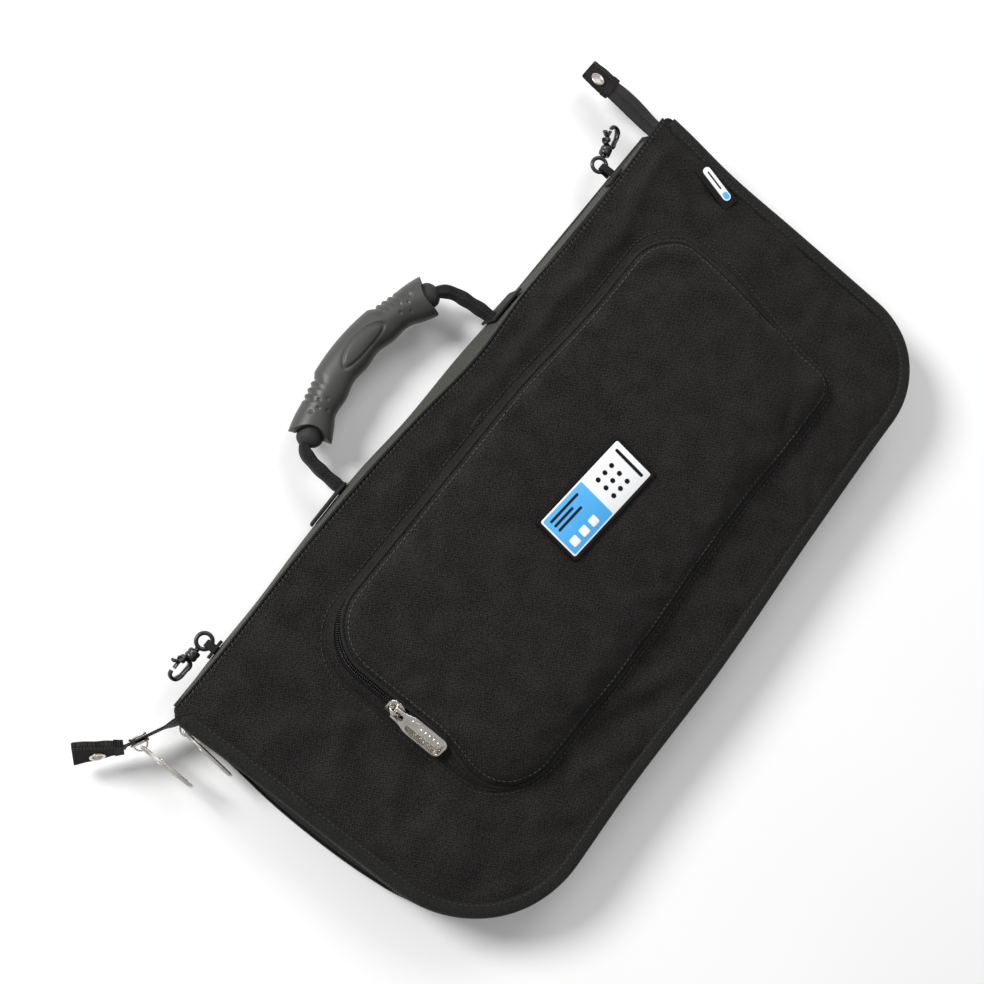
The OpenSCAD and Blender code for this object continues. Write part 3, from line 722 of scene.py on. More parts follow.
def edge_gap(x, y):
    """Rough distance from the cover's outline."""
    gap = np.minimum(np.minimum(HALF_L - np.abs(x), y - FAR_Y), SPINE_Y - y)
    for side, radius in ((-1, FAR_LEFT_R), (1, FAR_RIGHT_R)):
        cx, cy = side * (HALF_L - radius), FAR_Y + radius
        corner = (side * (x - cx) > 0) & (y < cy)
        gap = np.where(corner, radius - np.hypot(x - cx, y - cy), gap)
    return gap


def front_height(x, y):
    """How far the front cover's cloth rises over its flat place."""
    lift = 1.3 * (1 - (x / HALF_L) ** 4) * (1 - (y / SPINE_Y) ** 4)
    for a, b, width, height in FOLDS:
        lift = lift + FOLD_DEPTH * height * ridge(x, y, a, b, width)
    lift = lift + 0.7 * ripple(x, y, 38, 2.0) + 0.3 * ripple(x, y, 15, 7.0)
    return lift * smooth((edge_gap(x, y) - 6) / 10) - 0.35 + 0.35 * smooth((edge_gap(x, y) - 3) / 8)


def back_height(x, y):
    return 0.25 * ripple(x, y, 40, 5.0) - 0.35


# ------------------------------------------------------------------ the two halves

WALL_ROWS = [(1.6, 0.7), (1.1, 1.5), (0.95, 2.8), (1.2, 5), (1.5, 8), (1.4, 12), (1.5, 16)]


def half_shell(name, height, front):
    """Panel, rolled edge and side wall of one half as one cloth. The wall stops short at the
    spine."""
    outline = body_loop(2.5)
    flat, tris = fill(outline, 4.6)
    n = len(outline)
    near = np.zeros(n)
    near[MOUTH + BODY_COUNTS[5]:MOUTH + BODY_COUNTS[5] + BODY_COUNTS[6] + 1] = 1
    ramp = np.linspace(0, 1, BODY_COUNTS[5] + 1)
    near[MOUTH:MOUTH + BODY_COUNTS[5] + 1] = ramp
    near[-BODY_COUNTS[7]:] = ramp[:0:-1]
    depth = 1 - 0.86 * smooth(near)
    verts = [np.c_[flat, TOP_Z + height(flat[:, 0], flat[:, 1])]]
    uv = [flat]
    out = unit(body_loop(0) - body_loop(4))
    faces = list(tris)
    above = 0
    start = len(flat)
    for inset, drop in WALL_ROWS:
        verts.append(np.c_[body_loop(inset), TOP_Z - 0.35 - drop * depth])
        uv.append(outline + out * drop)
        for i in range(n):
            j = (i + 1) % n
            faces.append([above + i, start + i, start + j, above + j])
        above = start
        start += n
    if not front:
        faces = [f[::-1] for f in faces]
    return make(name, seat(np.vstack(verts), front), faces, np.vstack(uv))


BINDING = [(9.0, 0.3), (8.6, 0.85), (6.0, 1.05), (3.2, 1.0), (1.4, 0.6), (0.3, -0.5), (-0.3, -2.0),
           (-0.35, -4.4), (0.0, -6.2), (0.5, -6.5), (0.9, -6.0), (0.8, -3.0), (1.2, -1.2),
           (2.4, -0.2), (5.0, 0.1), (8.4, 0.1)]


def binding(name, front):
    """Tape folded over the edge between panel and wall, on the three zipped sides."""
    columns = []
    for inset, rise in BINDING:
        path = zip_sides(inset, TOP_Z + rise)
        x, y = path[:, 0], path[:, 1]
        if inset > 2:
            path[:, 2] += 0.25 * ripple(x, y, 17, inset)
            sway = 0.35 * ripple(x, y, 30, 3.0)
            path[:, :2] += unit(body_loop(0) - body_loop(4))[:MOUTH + 1] * sway[:, None]
        columns.append(path)
    return loft(name, seat(np.stack(columns, 1), front), True, "cap", flip=not front)


def chain_half(name, front):
    """One half of the main zipper: its strip of tape, and its coil."""
    side = 1 if front else -1
    settle = settle_front if front else settle_back
    rows = [(3.2, 9.0), (2.6, 6.0), (2.2, 4.0), (2.0, 2.4), (2.0, 1.2)]
    strip = np.stack([settle(zip_sides(inset, MID_Z + side * rise)) for inset, rise in rows])
    tape = thicken(loft(name + "_tape", strip, False, flip=front), 0.8)
    path = settle(zip_sides(1.5, MID_Z + side * 1.25))
    outward = np.c_[unit(body_loop(0) - body_loop(4))[:MOUTH + 1], np.zeros(MOUTH + 1)]
    return tape, coil(name + "_coil", path, outward, 1.2, 0.95)


shell = half_shell("front_shell", front_height, True)
points = points_of(shell)
gap = edge_gap(points[:, 0], points[:, 1])
held = (gap < 9) | (points[:, 2] < TOP_Z - 0.5)
px, py = points[:, 0], points[:, 1]
seam_x = np.clip(px, pouch_lo[0], pouch_hi[0])
seam_y = np.clip(py, pouch_lo[1] + 6, pouch_hi[1] - 2)
on_seam = np.hypot(px - seam_x, py - seam_y) < 3
simulate(shell, np.flatnonzero(held | on_seam), 14, 1.2, 0.012, 2.6)
front_tree = surface_of(shell)
thicken(shell, 1.2)
dress(shell, COVER, "front_cover", "cover_cloth", ["front_panel", "front_side_wall"])

back = half_shell("back_shell", back_height, False)
thicken(back, 1.2)
dress(back, COVER, "back_half", "cover_cloth", ["back_panel", "back_side_wall"])

dress(binding("front_edge_binding", True), TAPE, "front_cover", "binding_tape", ["front_binding"])
dress(binding("back_edge_binding", False), TAPE, "back_half", "binding_tape", ["back_binding"])
for half, body, side in (("front", "front_cover", 1), ("back", "back_half", -1)):
    rim = seat(zip_sides(7.4, TOP_Z + 1.05)[2:-2], side > 0)
    sew(half + "_rim_stitches", rim, (0, 0, side), body)
    tape, teeth = chain_half("main_zip_" + half, side > 0)
    dress(tape, ZIP_TAPE, body, "zip_coil", [half + "_zip_tape"])
    dress(teeth, COIL, body, "zip_coil")


# ------------------------------------------------------------------ spine

SPINE_ENDS = HALF_L - 5
SPINE_FOOT = 1.6                  # height of the back's seam
SPINE_RISE = TOP_Z - 2.6
SEAM = ("back_half", "front_cover", (0, HINGE[1], 33.5), (0, HINGE[1], 38.6))


def spine_point(x, s, lift=0.0):
    """Point on the spine's cloth: s runs from the back's seam (0) to the front's (1)."""
    front_y = SPINE_Y - 0.6 + through(FRONT_SPINE_EDGE, x)
    back_y = SPINE_Y - 1.0
    out = through(SPINE_OUT, x) + SPINE_Y - 1.5
    ease = smooth(s)
    chord = back_y * (1 - ease) + front_y * ease
    y = chord + (out - (back_y + front_y) / 2) * np.sin(math.pi * np.clip(s, 0, 1)) ** 0.8
    return points_at(x, y + lift, SPINE_FOOT + SPINE_RISE * s)


def up_spine(z):
    """The share s of a height on the spine's cloth."""
    return (z - SPINE_FOOT) / SPINE_RISE


x = np.linspace(-SPINE_ENDS, SPINE_ENDS, 150)
rows = [spine_point(x, s) for s in np.linspace(0, 1, 18)]
spine = thicken(loft("spine_cloth", rows, False), 1.2)
dress(spine, COVER, slot="cover_cloth", stands_for=["spine_panel"], blend=SEAM)

# Ribbed band: ribs run across it, with three columns of points to a rib
RIB = 1.25
x = np.arange(-SPINE_ENDS + 6, SPINE_ENDS - 6, RIB / 3)
rise = 0.9 + 0.28 * np.sin(2 * math.pi * x / RIB)
rows = []
for k, s in enumerate(np.linspace(0.1, 0.965, 16)):
    edge = 0.45 if k in (0, 15) else 1.0
    rows.append(spine_point(x, s) + points_at(0, rise * edge, 0))
band = thicken(loft("spine_ribbed_band", rows, False), 0.7)
dress(band, RIBBED, slot="spine_rib", stands_for=["spine_webbing"], blend=SEAM)

x = np.linspace(-SPINE_ENDS + 3, SPINE_ENDS - 3, 200)
edge = points_at(x, SPINE_Y - 1.6 + through(FRONT_SPINE_EDGE, x), TOP_Z - 0.2)
sew("spine_whip_stitches", edge, (0, 0.45, 0.9), "front_cover", pitch=3.0, length=2.6, width=0.6,
    slant=1.15)


# ------------------------------------------------------------------ front pocket

POCKET_COUNTS = (26, 14, 76, 8, 28, 14, 70, 14)
POCKET_RUN = 15                   # how far the sides lean inwards
POCKET_RISE = FLAP_TOP - TOP_Z
FAR_SHIFT = POCKET_COUNTS[0] + POCKET_COUNTS[1] + POCKET_COUNTS[2] // 2
ZIP_T = 9.5 / 18                  # the zipper's place up the side, as a share of its height
EDGE_T = 0.76                     # and the face's edge
SLIDER_Y = pivot("pocket_pull_hinge")[1]
FLAP_BLEND = ("front_cover", "pocket_flap", (0, FOLD[1] - 3, 0), (0, FOLD[1] + 7, 0))


def settle_pocket(loop):
    """The tag side runs in towards its far corner, and the top edge dips at that end."""
    x, y = loop[:, 0].copy(), loop[:, 1].copy()
    loop[:, 0] -= 12 * smooth((34 - y) / 84) * smooth((x - 100) / 66)
    loop[:, 1] -= 5 * smooth((x - 20) / 90) * smooth((y - 50) / 28)
    loop[:, 1] += 1.2 * np.sin(x / 31) * smooth((-y - 30) / 30)
    return loop


def start_at_far_middle(loop):
    return np.roll(loop, -FAR_SHIFT, 0)


base_loop = start_at_far_middle(settle_pocket(rounded_loop(
    pouch_lo[0], pouch_hi[0], pouch_lo[1] + 6, pouch_hi[1], (40, 14, 34, 34), POCKET_COUNTS)))
top_loop = start_at_far_middle(settle_pocket(rounded_loop(
    pouch_lo[0] + POCKET_RUN, pouch_hi[0] - POCKET_RUN, pouch_lo[1] + 22, pouch_hi[1] - 3,
    (36, 14, 30, 30), POCKET_COUNTS)))
base_z = drape(front_tree, base_loop)[0][:, 2]
at_left = base_loop[:, 0] < 0
side_y = base_loop[:, 1]
edge_share = np.where(at_left, smooth((side_y + 62) / 56), smooth((side_y + 34) / 52))
edge_t = 0.05 + (EDGE_T - 0.05) * edge_share
zip_end = np.where(at_left, 9, 21)
zip_open = smooth((side_y - zip_end) / 9)
zip_part = np.flatnonzero(side_y > zip_end - 3)
zip_part = slice(zip_part.min(), zip_part.max() + 1)


def wall_points(t, depth=0.0):
    """Points up the pocket's side at share t of its height, one per loop point."""
    t = np.broadcast_to(np.asarray(t, float), len(base_loop))
    flat = base_loop * (1 - t[:, None]) + top_loop * t[:, None]
    points = np.c_[flat, base_z * (1 - t) + FLAP_TOP * t]
    return points - wall_normals * depth


ahead = np.roll(base_loop, -1, 0) - np.roll(base_loop, 1, 0)
wall_normals = unit(np.cross(np.c_[ahead, np.zeros(len(ahead))],
                             np.c_[top_loop - base_loop, FLAP_TOP - base_z]))

# Low wall under the zipper, which runs out into the face's own seam past the zipper's ends
low_t = edge_t * (1 - zip_open) + (ZIP_T - 0.17) * zip_open
rows = [wall_points(low_t * s, -0.7 * math.sin(math.pi * s)) for s in np.linspace(-0.04, 1, 6)]
rows.append(wall_points(low_t, 1.4))
gusset = thicken(loft("pocket_low_wall", rows, True), 1.0)
dress(gusset, COVER, "front_cover", "cover_cloth")

# Face: one soft sheet from the zipper edge to the far seam
face_edge = wall_points(edge_t)
flat, tris = fill(face_edge[:, :2], 4.0)
gap = np.zeros(len(flat))
edge_z = np.zeros(len(flat))
round_r = np.zeros(len(flat))
edge_round = 25 - 15 * edge_share
BATCH = 500                       # points at a time, to save memory
for k in range(0, len(flat), BATCH):
    away = np.linalg.norm(flat[k:k + BATCH, None] - face_edge[None, :, :2], axis=2)
    share = np.exp(-((away - away.min(1, keepdims=True)) / 6.0))
    share /= share.sum(1, keepdims=True)
    gap[k:k + BATCH] = away.min(1)
    edge_z[k:k + BATCH] = share @ face_edge[:, 2]
    round_r[k:k + BATCH] = share @ edge_round
n_edge = len(face_edge)
gap[:n_edge], edge_z[:n_edge] = 0, face_edge[:, 2]
u = np.clip(gap / round_r, 0, 1)
full = FLAP_TOP + 0.1
face_z = edge_z + (full - edge_z) * (1 - (1 - u) ** 2.1) ** 0.62

LABEL_HALF = np.array([36.25, 16.5])
LABEL_TURN = -5
label_lo, label_hi = corners("label_patch")
label_mid = (label_lo + label_hi)[:2] / 2

# Soft folds of the pocket's face: from, to, width, height
FACE_FOLDS = [
    ((-132, 26), (-118, -8), 6, -1.0),
    ((-126, 34), (-108, 8), 7, 0.7),
    ((-120, 70), (-30, 62), 12, 0.8),
    ((30, 66), (130, 58), 12, 0.8),
    ((120, -20), (136, -48), 8, -1.2),
    ((136, -52), (118, -62), 5, -1.6),     # tuck at the far corner by the tag
    ((146, -40), (140, -60), 5, 1.0),
    ((-40, -56), (30, -58), 9, -0.7),
    ((-112, -58), (-92, -48), 7, -0.9),
    ((60, -50), (84, -30), 10, 0.7),
]
lift = 0.8 * ripple(*flat.T, 30, 11.0) + 0.35 * ripple(*flat.T, 12, 4.0)
for a, b, width, height in FACE_FOLDS:
    lift = lift + height * ridge(*flat.T, a, b, width)
off_label = np.max(np.abs(turned(flat, label_mid, -LABEL_TURN) - label_mid) - LABEL_HALF, axis=1)
lift = lift * smooth(u * 1.4) * smooth((off_label - 1) / 12)
face = make("pocket_face", np.c_[flat, face_z + lift], tris, flat)
held = np.flatnonzero((gap < 0.01) | (off_label < 2))
simulate(face, held, 16, 2.2, 0.014, 3.2)
points = points_of(face)
points[:, 2] = np.minimum(points[:, 2], full + 2.2 * smooth((off_label - 1) / 14))
set_points(face, points)
face_tree = surface_of(face)
refine(face)
thicken(face, 1.2)
dress(face, COVER, slot="cover_cloth", stands_for=["pocket_flap", "pocket_pouch"],
      blend=FLAP_BLEND)

# Welt cord round the face, and a cord in the seam where the pocket meets the cover
cord = wall_points(edge_t) + wall_normals * 0.35
welt = sweep("pocket_welt", cord, oval(1.15, 1.15, 10), wall_normals, closed=True)
dress(welt, TAPE, slot="binding_tape", blend=FLAP_BLEND)
seam = wall_points(0.0) + wall_normals * 0.2 + np.array([0, 0, 0.35])
dress(sweep("pocket_base_cord", seam, oval(0.8, 0.8, 8), wall_normals, closed=True), TAPE,
      "front_cover", "binding_tape")

# Top-stitching beside the welt, and beside the base seam
inward = unit(-wall_normals[:, :2])
stitch_line = cord[:, :2] + inward * (3.2 + 0.8 * (1 - edge_share))[:, None]
path, normals = drape(face_tree, np.vstack([stitch_line, stitch_line[:1]]))
sew("pocket_face_stitches", path, normals, thread=PALE_THREAD, blend=FLAP_BLEND)
out_line = base_loop - inward * 2.6
path, normals = drape(front_tree, np.vstack([out_line, out_line[:1]]))
sew("pocket_base_stitches", path, normals, "front_cover")

# Small bar tack beside the spine side of the pocket
path, normals = drape(front_tree, points_at(np.linspace(-1.5, 8.5, 12), np.linspace(88.6, 89.4, 12)))
sew("pocket_bar_tack", path, normals, "front_cover", pitch=0.9, length=2.4, width=0.7, slant=1.4)

# Zipper of the pocket: lower half on the cover, upper half partly on the flap
for part, spread, coil_t, node in (("lower", (-0.26, -0.05), ZIP_T - 0.046, "pocket_zip_tape"),
                                   ("upper", (0.05, 0.24), ZIP_T + 0.046, "flap_zip_tape")):
    rows = [wall_points(ZIP_T + s, 1.0)[zip_part] for s in np.linspace(*spread, 4)]
    tape = thicken(loft("pocket_zip_" + part + "_tape", rows, False), 0.7)
    line = wall_points(coil_t, 0.5)[zip_part]
    teeth = coil("pocket_zip_" + part + "_coil", line, wall_normals[zip_part], 0.85, 0.75, 1.25, 0.3)
    where = {"blend": FLAP_BLEND} if part == "upper" else {"body": "front_cover"}
    dress(tape, ZIP_TAPE, slot="zip_coil", stands_for=[node], **where)
    dress(teeth, COIL, slot="zip_coil", **where)


# ------------------------------------------------------------------ sliders and pulls

PLATE_W = 11
PLATE_T = 1.3
BAIL_R = 3.85


def slider(name, clear_out, clear_in, neck_turn=0.0):
    """Slider with shaped outer plate, side rails, neck, inner plate and an arched bail. Y is
    its travel and Z points outwards."""
    half = PLATE_W / 2
    shield = [(-half * 0.62, -5.4), (half * 0.62, -5.4), (half * 0.8, -3.6), (half * 0.98, 1.0),
              (half * 0.98, 3.6), (half * 0.72, 5.3), (half * 0.25, 5.5), (-half * 0.25, 5.5),
              (-half * 0.72, 5.3), (-half * 0.98, 3.6), (-half * 0.98, 1.0), (-half * 0.8, -3.6)]
    top = slab(name, shield, PLATE_T, edge=0.45, segments=3)
    set_points(top, points_of(top) + [0, 0, clear_out + PLATE_T / 2])
    bottom = slab(name + "_b", [(x * 0.96, y * 0.96) for x, y in shield], PLATE_T, edge=0.35)
    set_points(bottom, points_of(bottom) - [0, 0, clear_in + PLATE_T / 2])
    parts = [top, bottom]
    for side in (-1, 1):
        rail = [(side * half * 0.66, -4.6, clear_out + 0.35), (side * half * 0.84, -2, clear_out + 0.3),
                (side * half * 0.93, 3.4, clear_out + 0.3)]
        parts.append(sweep(name + "_r", rail, oval(0.5, 0.75, 8)))
    reach = clear_out + clear_in + PLATE_T
    c, s = math.cos(math.radians(neck_turn)), math.sin(math.radians(neck_turn))
    neck_from = np.array([s * -clear_in, 2.8, c * -clear_in])
    neck = np.stack([neck_from + np.array([s, 0, c]) * reach * t for t in (0, 0.5, 1)])
    parts.append(sweep(name + "_n", neck, oval(0.6, 1.7, 10), (0, 1, 0)))
    arc = np.radians(np.linspace(0, 180, 19))
    foot = clear_out + PLATE_T - 0.2
    path = points_at(0, BAIL_R * np.cos(arc), foot + BAIL_R * np.sin(arc))
    outward = points_at(0, np.cos(arc), np.sin(arc))
    parts.append(sweep(name + "_a", path, strap_section(2.5, 1.05), outward))
    return merged(name, parts)


def arc_points(cx, cy, r, start, end, n=6):
    a = np.radians(np.linspace(start, end, n))
    return [(cx + r * math.cos(t), cy + r * math.sin(t)) for t in a]


pull_lo, pull_hi = corners("main_pull_b")
PULL_W = pull_hi[2] - pull_lo[2]
PULL_L = 36
PULL_T = pull_hi[0] - pull_lo[0]


def pull_outline(shrink=0.0):
    """Outline of a pull: a neck that widens to a body with a round end."""
    w = PULL_W / 2 - shrink
    neck = PULL_W * 0.31 - shrink
    r = 4.2 - shrink * 0.6
    low = -PULL_L + shrink
    right = [(neck, 0), (neck * 1.02, -3.5), (neck * 1.2, -7.0), (w * 0.95, -11.2), (w, -13.5)]
    right += arc_points(w - r, low + r, r, 0, -80)
    return right[::-1] + [(-x, y) for x, y in right]


def pull(name):
    """Cast pull with a raised rim, a sunk field with plain ribs, a slot and its crossbar. The
    crossbar lies on X, and the pull hangs to -Y."""
    slot_hole = ([(2.2, -1.0), (2.2, -4.6)] + arc_points(0, -4.6, 2.2, 0, -180, 8)
                 + [(-2.2, -4.6), (-2.2, -1.0)])
    slot_hole = [p for i, p in enumerate(slot_hole) if i == 0 or p != slot_hole[i - 1]]
    field_w = PULL_W / 2 - 1.5
    field = ([(field_w, -15.5)] + arc_points(field_w - 2.6, -PULL_L + 4.1, 2.6, 0, -90)
             + arc_points(-field_w + 2.6, -PULL_L + 4.1, 2.6, -90, -180) + [(-field_w, -15.5)]
             + arc_points(-field_w + 3, -13.2, 2.6, 150, 90, 3)
             + arc_points(field_w - 3, -13.2, 2.6, 90, 30, 3))
    core = slab(name, pull_outline(0.25), PULL_T * 0.55, [slot_hole], edge=0)
    rim = slab(name + "_rim", pull_outline(), PULL_T, [slot_hole, field], edge=0.3)
    parts = [core, rim]
    bar = [(x, 0, 0) for x in np.linspace(-PULL_W * 0.31, PULL_W * 0.31, 5)]
    parts.append(sweep(name + "_bar", bar, oval(PULL_T / 2, PULL_T / 2, 14)))
    for y in (-18.5, -21.5, -24.5, -27.5, -30.5):
        for face in (-1, 1):
            reach = field_w - 1.4 - 0.5 * abs(y + 24.5) / 6
            rib = [(x, y, face * PULL_T * 0.29) for x in np.linspace(-reach, reach, 5)]
            parts.append(sweep(name + "_rib", rib, oval(0.55, 0.42, 8)))
    return merged(name, parts)


cross = -np.array(JOINTS["pocket_pull_hinge"]["axis"], float)
placed(pull("pocket_zip_pull"), pivot("pocket_pull_hinge"), cross, np.cross(cross, (0, 1, 0)))
dress(bpy.data.objects["pocket_zip_pull"], NICKEL, "pocket_pull", "nickel", ["pocket_pull"])

zip_x = pouch_lo[0] + POCKET_RUN * ZIP_T
zip_z = TOP_Z + POCKET_RISE * ZIP_T
slope = math.atan2(POCKET_RISE, POCKET_RUN)
up_side = np.array([math.cos(slope), 0, math.sin(slope)])
out_side = np.array([-math.sin(slope), 0, math.cos(slope)])
piece = slider("pocket_zip_slider", 1.2, 2.65, math.degrees(slope) - 90)
placed(piece, (zip_x, SLIDER_Y, zip_z), up_side, out_side)
dress(piece, NICKEL, "pocket_slider", "nickel", ["pocket_slider"])

PULL_OUT = 3.15                   # from the outer plate's inner face to the crossbar
swing_a = math.radians(-5)
pivot_a, pivot_b = pivot("main_pull_a_swing"), pivot("main_pull_b_swing")
piece = slider("main_zip_slider_a", 0.8, 3.1)
placed(piece, pivot_a + [0.8 + PULL_OUT, 0, 0], (0, 0, 1), (-1, 0, 0))
dress(piece, NICKEL, "main_slider_a", "nickel", ["main_slider_a"])
piece = placed(pull("main_zip_pull_a"), pivot_a, (0, 0, -1),
               (math.cos(swing_a), math.sin(swing_a), 0))
dress(piece, NICKEL, "main_pull_a", "nickel", ["main_pull_a"])

tail_along = np.array(JOINTS["main_slide_b"]["axis"], float)
tail_face = np.cross((0, 0, 1), tail_along)
piece = slider("main_zip_slider_b", 1.3, 1.3)
placed(piece, pivot_b - tail_face * (1.3 + PULL_OUT), (0, 0, 1), tail_face)
dress(piece, NICKEL, "main_slider_b", "nickel", ["main_slider_b"])
piece = placed(pull("main_zip_pull_b"), pivot_b, (0, 0, -1), (1, 0, 0))
dress(piece, NICKEL, "main_pull_b", "nickel", ["main_pull_b"])


# ------------------------------------------------------------------ label and side tag

def round_rect(x0, x1, y0, y1, r, n=6):
    return rounded_loop(x0, x1, y0, y1, (r, r, r, r), (1, n, 1, n, 1, n, 1, n))


def on_label(obj, z):
    """Sets a piece modelled about the label's middle onto the pocket's face."""
    p = points_of(obj)
    p[:, :2] = turned(p[:, :2], 0, LABEL_TURN) + label_mid
    p[:, 2] += label_lo[2] + z
    set_points(obj, p)
    return obj


def label_plate(name, x0, x1, y0, y1, r, top, thickness=0.8):
    return on_label(slab(name, round_rect(x0, x1, y0, y1, r), thickness, edge=0.2), top - thickness / 2)


hx, hy = LABEL_HALF
FIELD = 2.1                       # width of the raised rim
rim = on_label(slab("rim", round_rect(-hx, hx, -hy, hy, 2.6), 2.4,
                    [round_rect(FIELD - hx, hx - FIELD, FIELD - hy, hy - FIELD, 1.3)], edge=0.6,
                    segments=3), 1.2)
backing = on_label(slab("backing", round_rect(1 - hx, hx - 1, 1 - hy, hy - 1, 2), 1.4, edge=0), 0.8)
dress(merged("label_rim", [rim, backing]), LABEL_RIM, "front_cover", "label_rim", ["label_patch"])

x0, x1, y0, y1 = FIELD + 0.2 - hx, hx - FIELD - 0.2, FIELD + 0.2 - hy, hy - FIELD - 0.2
dress(label_plate("label_white_field", x0, x1, y0, y1, 1.2, 2.0), LABEL_WHITE, "front_cover",
      "label_white", ["label_right_inset"])
dress(label_plate("label_blue_field", x0 + 1, 0.6, y0 + 1, y1 - 1, 0.8, 2.2), LABEL_BLUE,
      "front_cover", "label_blue", ["label_left_inset"])

# Plain ornament in place of the print: bars, squares and dots that spell and picture nothing
dark = [label_plate("bar", x0 + 4, x0 + 4 + run, y, y + 1.5, 0.7, 2.45, 0.5)
        for run, y in ((24, y1 - 5.2), (16, y1 - 8.6), (20, y1 - 12.0))]
dark.append(label_plate("bar", x1 - 5.6, x1 - 3.6, y0 + 3, y1 - 3, 0.9, 2.25, 0.5))
dark += [label_plate("dot", x0 + 41 + 6 * i, x0 + 44 + 6 * i, k * 6.5 - 1.5, k * 6.5 + 1.5, 1.45, 2.25,
                     0.5) for i in range(3) for k in (-1, 0, 1)]
dress(merged("label_dark_ornament", dark), LABEL_RIM, "front_cover", "label_rim")
pale = [label_plate("square", x0 + 4 + 8.2 * k, x0 + 9.4 + 8.2 * k, y0 + 3.6, y0 + 9.0, 0.9, 2.45, 0.5)
        for k in range(3)]
dress(merged("label_pale_ornament", pale), LABEL_WHITE, "front_cover", "label_white")

# Side tag: a folded loop of tape with a plain badge, caught under the binding
tag_lo, tag_hi = corners("side_tag")
tag_mid = (tag_lo + tag_hi)[:2] / 2
TAG_TILT = -12
tag_z = drape(front_tree, [tag_mid])[0][0, 2]


def on_tag(obj, z):
    p = points_of(obj)
    p[:, :2] = turned(p[:, :2], 0, TAG_TILT) + tag_mid
    p[:, 2] += tag_z + z + 0.012 * (p[:, 0] - tag_mid[0])
    set_points(obj, p)
    return obj


tag = on_tag(slab("side_tag_tape", round_rect(-5.2, 6.0, -16, 16, 0.8, 3), 1.5, edge=0.6, segments=3),
             1.0)
dress(tag, LABEL_RIM, "front_cover", "label_rim", ["side_tag"])
badge = on_tag(slab("side_tag_plate", round_rect(-1.4, 4.0, -12.4, 12.4, 2.6, 8), 0.7, edge=0.25), 1.95)
dress(badge, LABEL_WHITE, "front_cover", "label_white", ["side_tag_badge"])
line = on_tag(slab("side_tag_line", round_rect(0.8, 1.8, -4, 9.5, 0.45, 4), 0.4, edge=0.1), 2.3)
dress(line, LABEL_RIM, "front_cover", "label_rim")
end = on_tag(slab("side_tag_end", round_rect(-0.6, 3.2, -11.4, -6.6, 1.7, 6), 0.4, edge=0.1), 2.3)
dress(end, LABEL_BLUE, "front_cover", "label_blue")


# ------------------------------------------------------------------ carry handle

ARCH = np.array([JOINTS["handle_swing"]["pos_m"][0] / MM, 30, MID_Z])
ARCH_R = 139
GRIP_ANGLE = 21.7                 # half of the grip's arc
GRIP_R = 11
CORE_R = 7.9
CORE_ANGLE = 26.6
HANDLE_BLEND = ("back_half", "handle", (0, SPINE_Y + 4, 0), (0, SPINE_Y + 13, 0))


def on_arch(angle, out=0.0, up=0.0):
    """Point of the handle's arch, at degrees from its middle, then outwards and up."""
    a = np.radians(angle)
    r = ARCH_R + np.asarray(out, float)
    return points_at(ARCH[0] + r * np.sin(a), ARCH[1] + r * np.cos(a), ARCH[2] + up)


def curve(knots, count):
    """Smooth path through points."""
    knots = np.asarray(knots, float)
    along = np.r_[0, np.cumsum(np.linalg.norm(np.diff(knots, axis=0), axis=1))]
    at = np.linspace(0, along[-1], count)
    return np.stack([through(np.c_[along, knots[:, k]], at) for k in range(3)], 1)


GRIP_SIDES = 96
turn = np.arange(GRIP_SIDES) * 2 * math.pi / GRIP_SIDES
outer = -np.cos(turn)             # 1 on the side away from the bag
upper = np.sin(turn)
# Dimples on the top near each end: share of the half arc, and offset outwards
DIMPLES = [(0.66, -1.5), (0.71, 3.0), (0.78, -4.2), (0.80, 1.4), (0.86, 4.6)]
PAD_AT = 4.0                      # the oval pad's place along the grip
rings = []
for share in np.linspace(-1, 1, 260):
    e = abs(share)
    radius = np.full(GRIP_SIDES, float(GRIP_R))
    outside, inside = np.maximum(outer, 0) ** 2.4, np.maximum(-outer, 0) ** 1.8
    notch = 0.5 - 0.5 * math.cos(2 * math.pi * (e - 0.47) / 0.075)
    zone = 1.0 if 0.47 < e < 0.47 + 0.075 * 4 else 0.0
    radius += outside * (1.3 * smooth((0.48 - e) / 0.06) - 1.3 * zone * notch)
    radius += inside * 0.6 * math.cos(2 * math.pi * (share * 2.1 + 0.08))
    radius += smooth((e - 0.78) / 0.22) * (0.5 + 1.3 * outer ** 2)
    along = share * math.radians(GRIP_ANGLE) * ARCH_R - PAD_AT
    off = outer * GRIP_R + along**2 / (2 * ARCH_R) - 0.4
    pad = np.hypot(along / 17.5, off / 5.3)
    on_top = upper > 0
    pad_height = 0.3 * smooth((1 - pad) / 0.25) - 0.95 * np.exp(-((pad - 1) / 0.085) ** 2)
    radius += np.where(on_top, pad_height, 0)
    for place, offset in DIMPLES:
        reach = (e - place) * math.radians(GRIP_ANGLE) * ARCH_R
        dot = np.exp(-((reach**2 + (outer * GRIP_R - offset) ** 2) / 0.85))
        radius -= np.where(on_top, 0.85 * dot, 0)
    spread = 2.2 * outer**2 * smooth((e - 0.84) / 0.16) * np.sign(share)
    rings.append(on_arch(share * GRIP_ANGLE + spread, outer * radius, upper * radius))
for share in np.linspace(1, -1, 60):
    spread = 2.2 * outer**2 * smooth((abs(share) - 0.84) / 0.16) * np.sign(share)
    rings.append(on_arch(share * GRIP_ANGLE + spread, outer * (CORE_R + 0.6), upper * (CORE_R + 0.6)))
dress(loft("handle_grip_shell", rings, True, "join", flip=True), GRIP, "handle", "grip_rubber",
      ["handle_grip"])

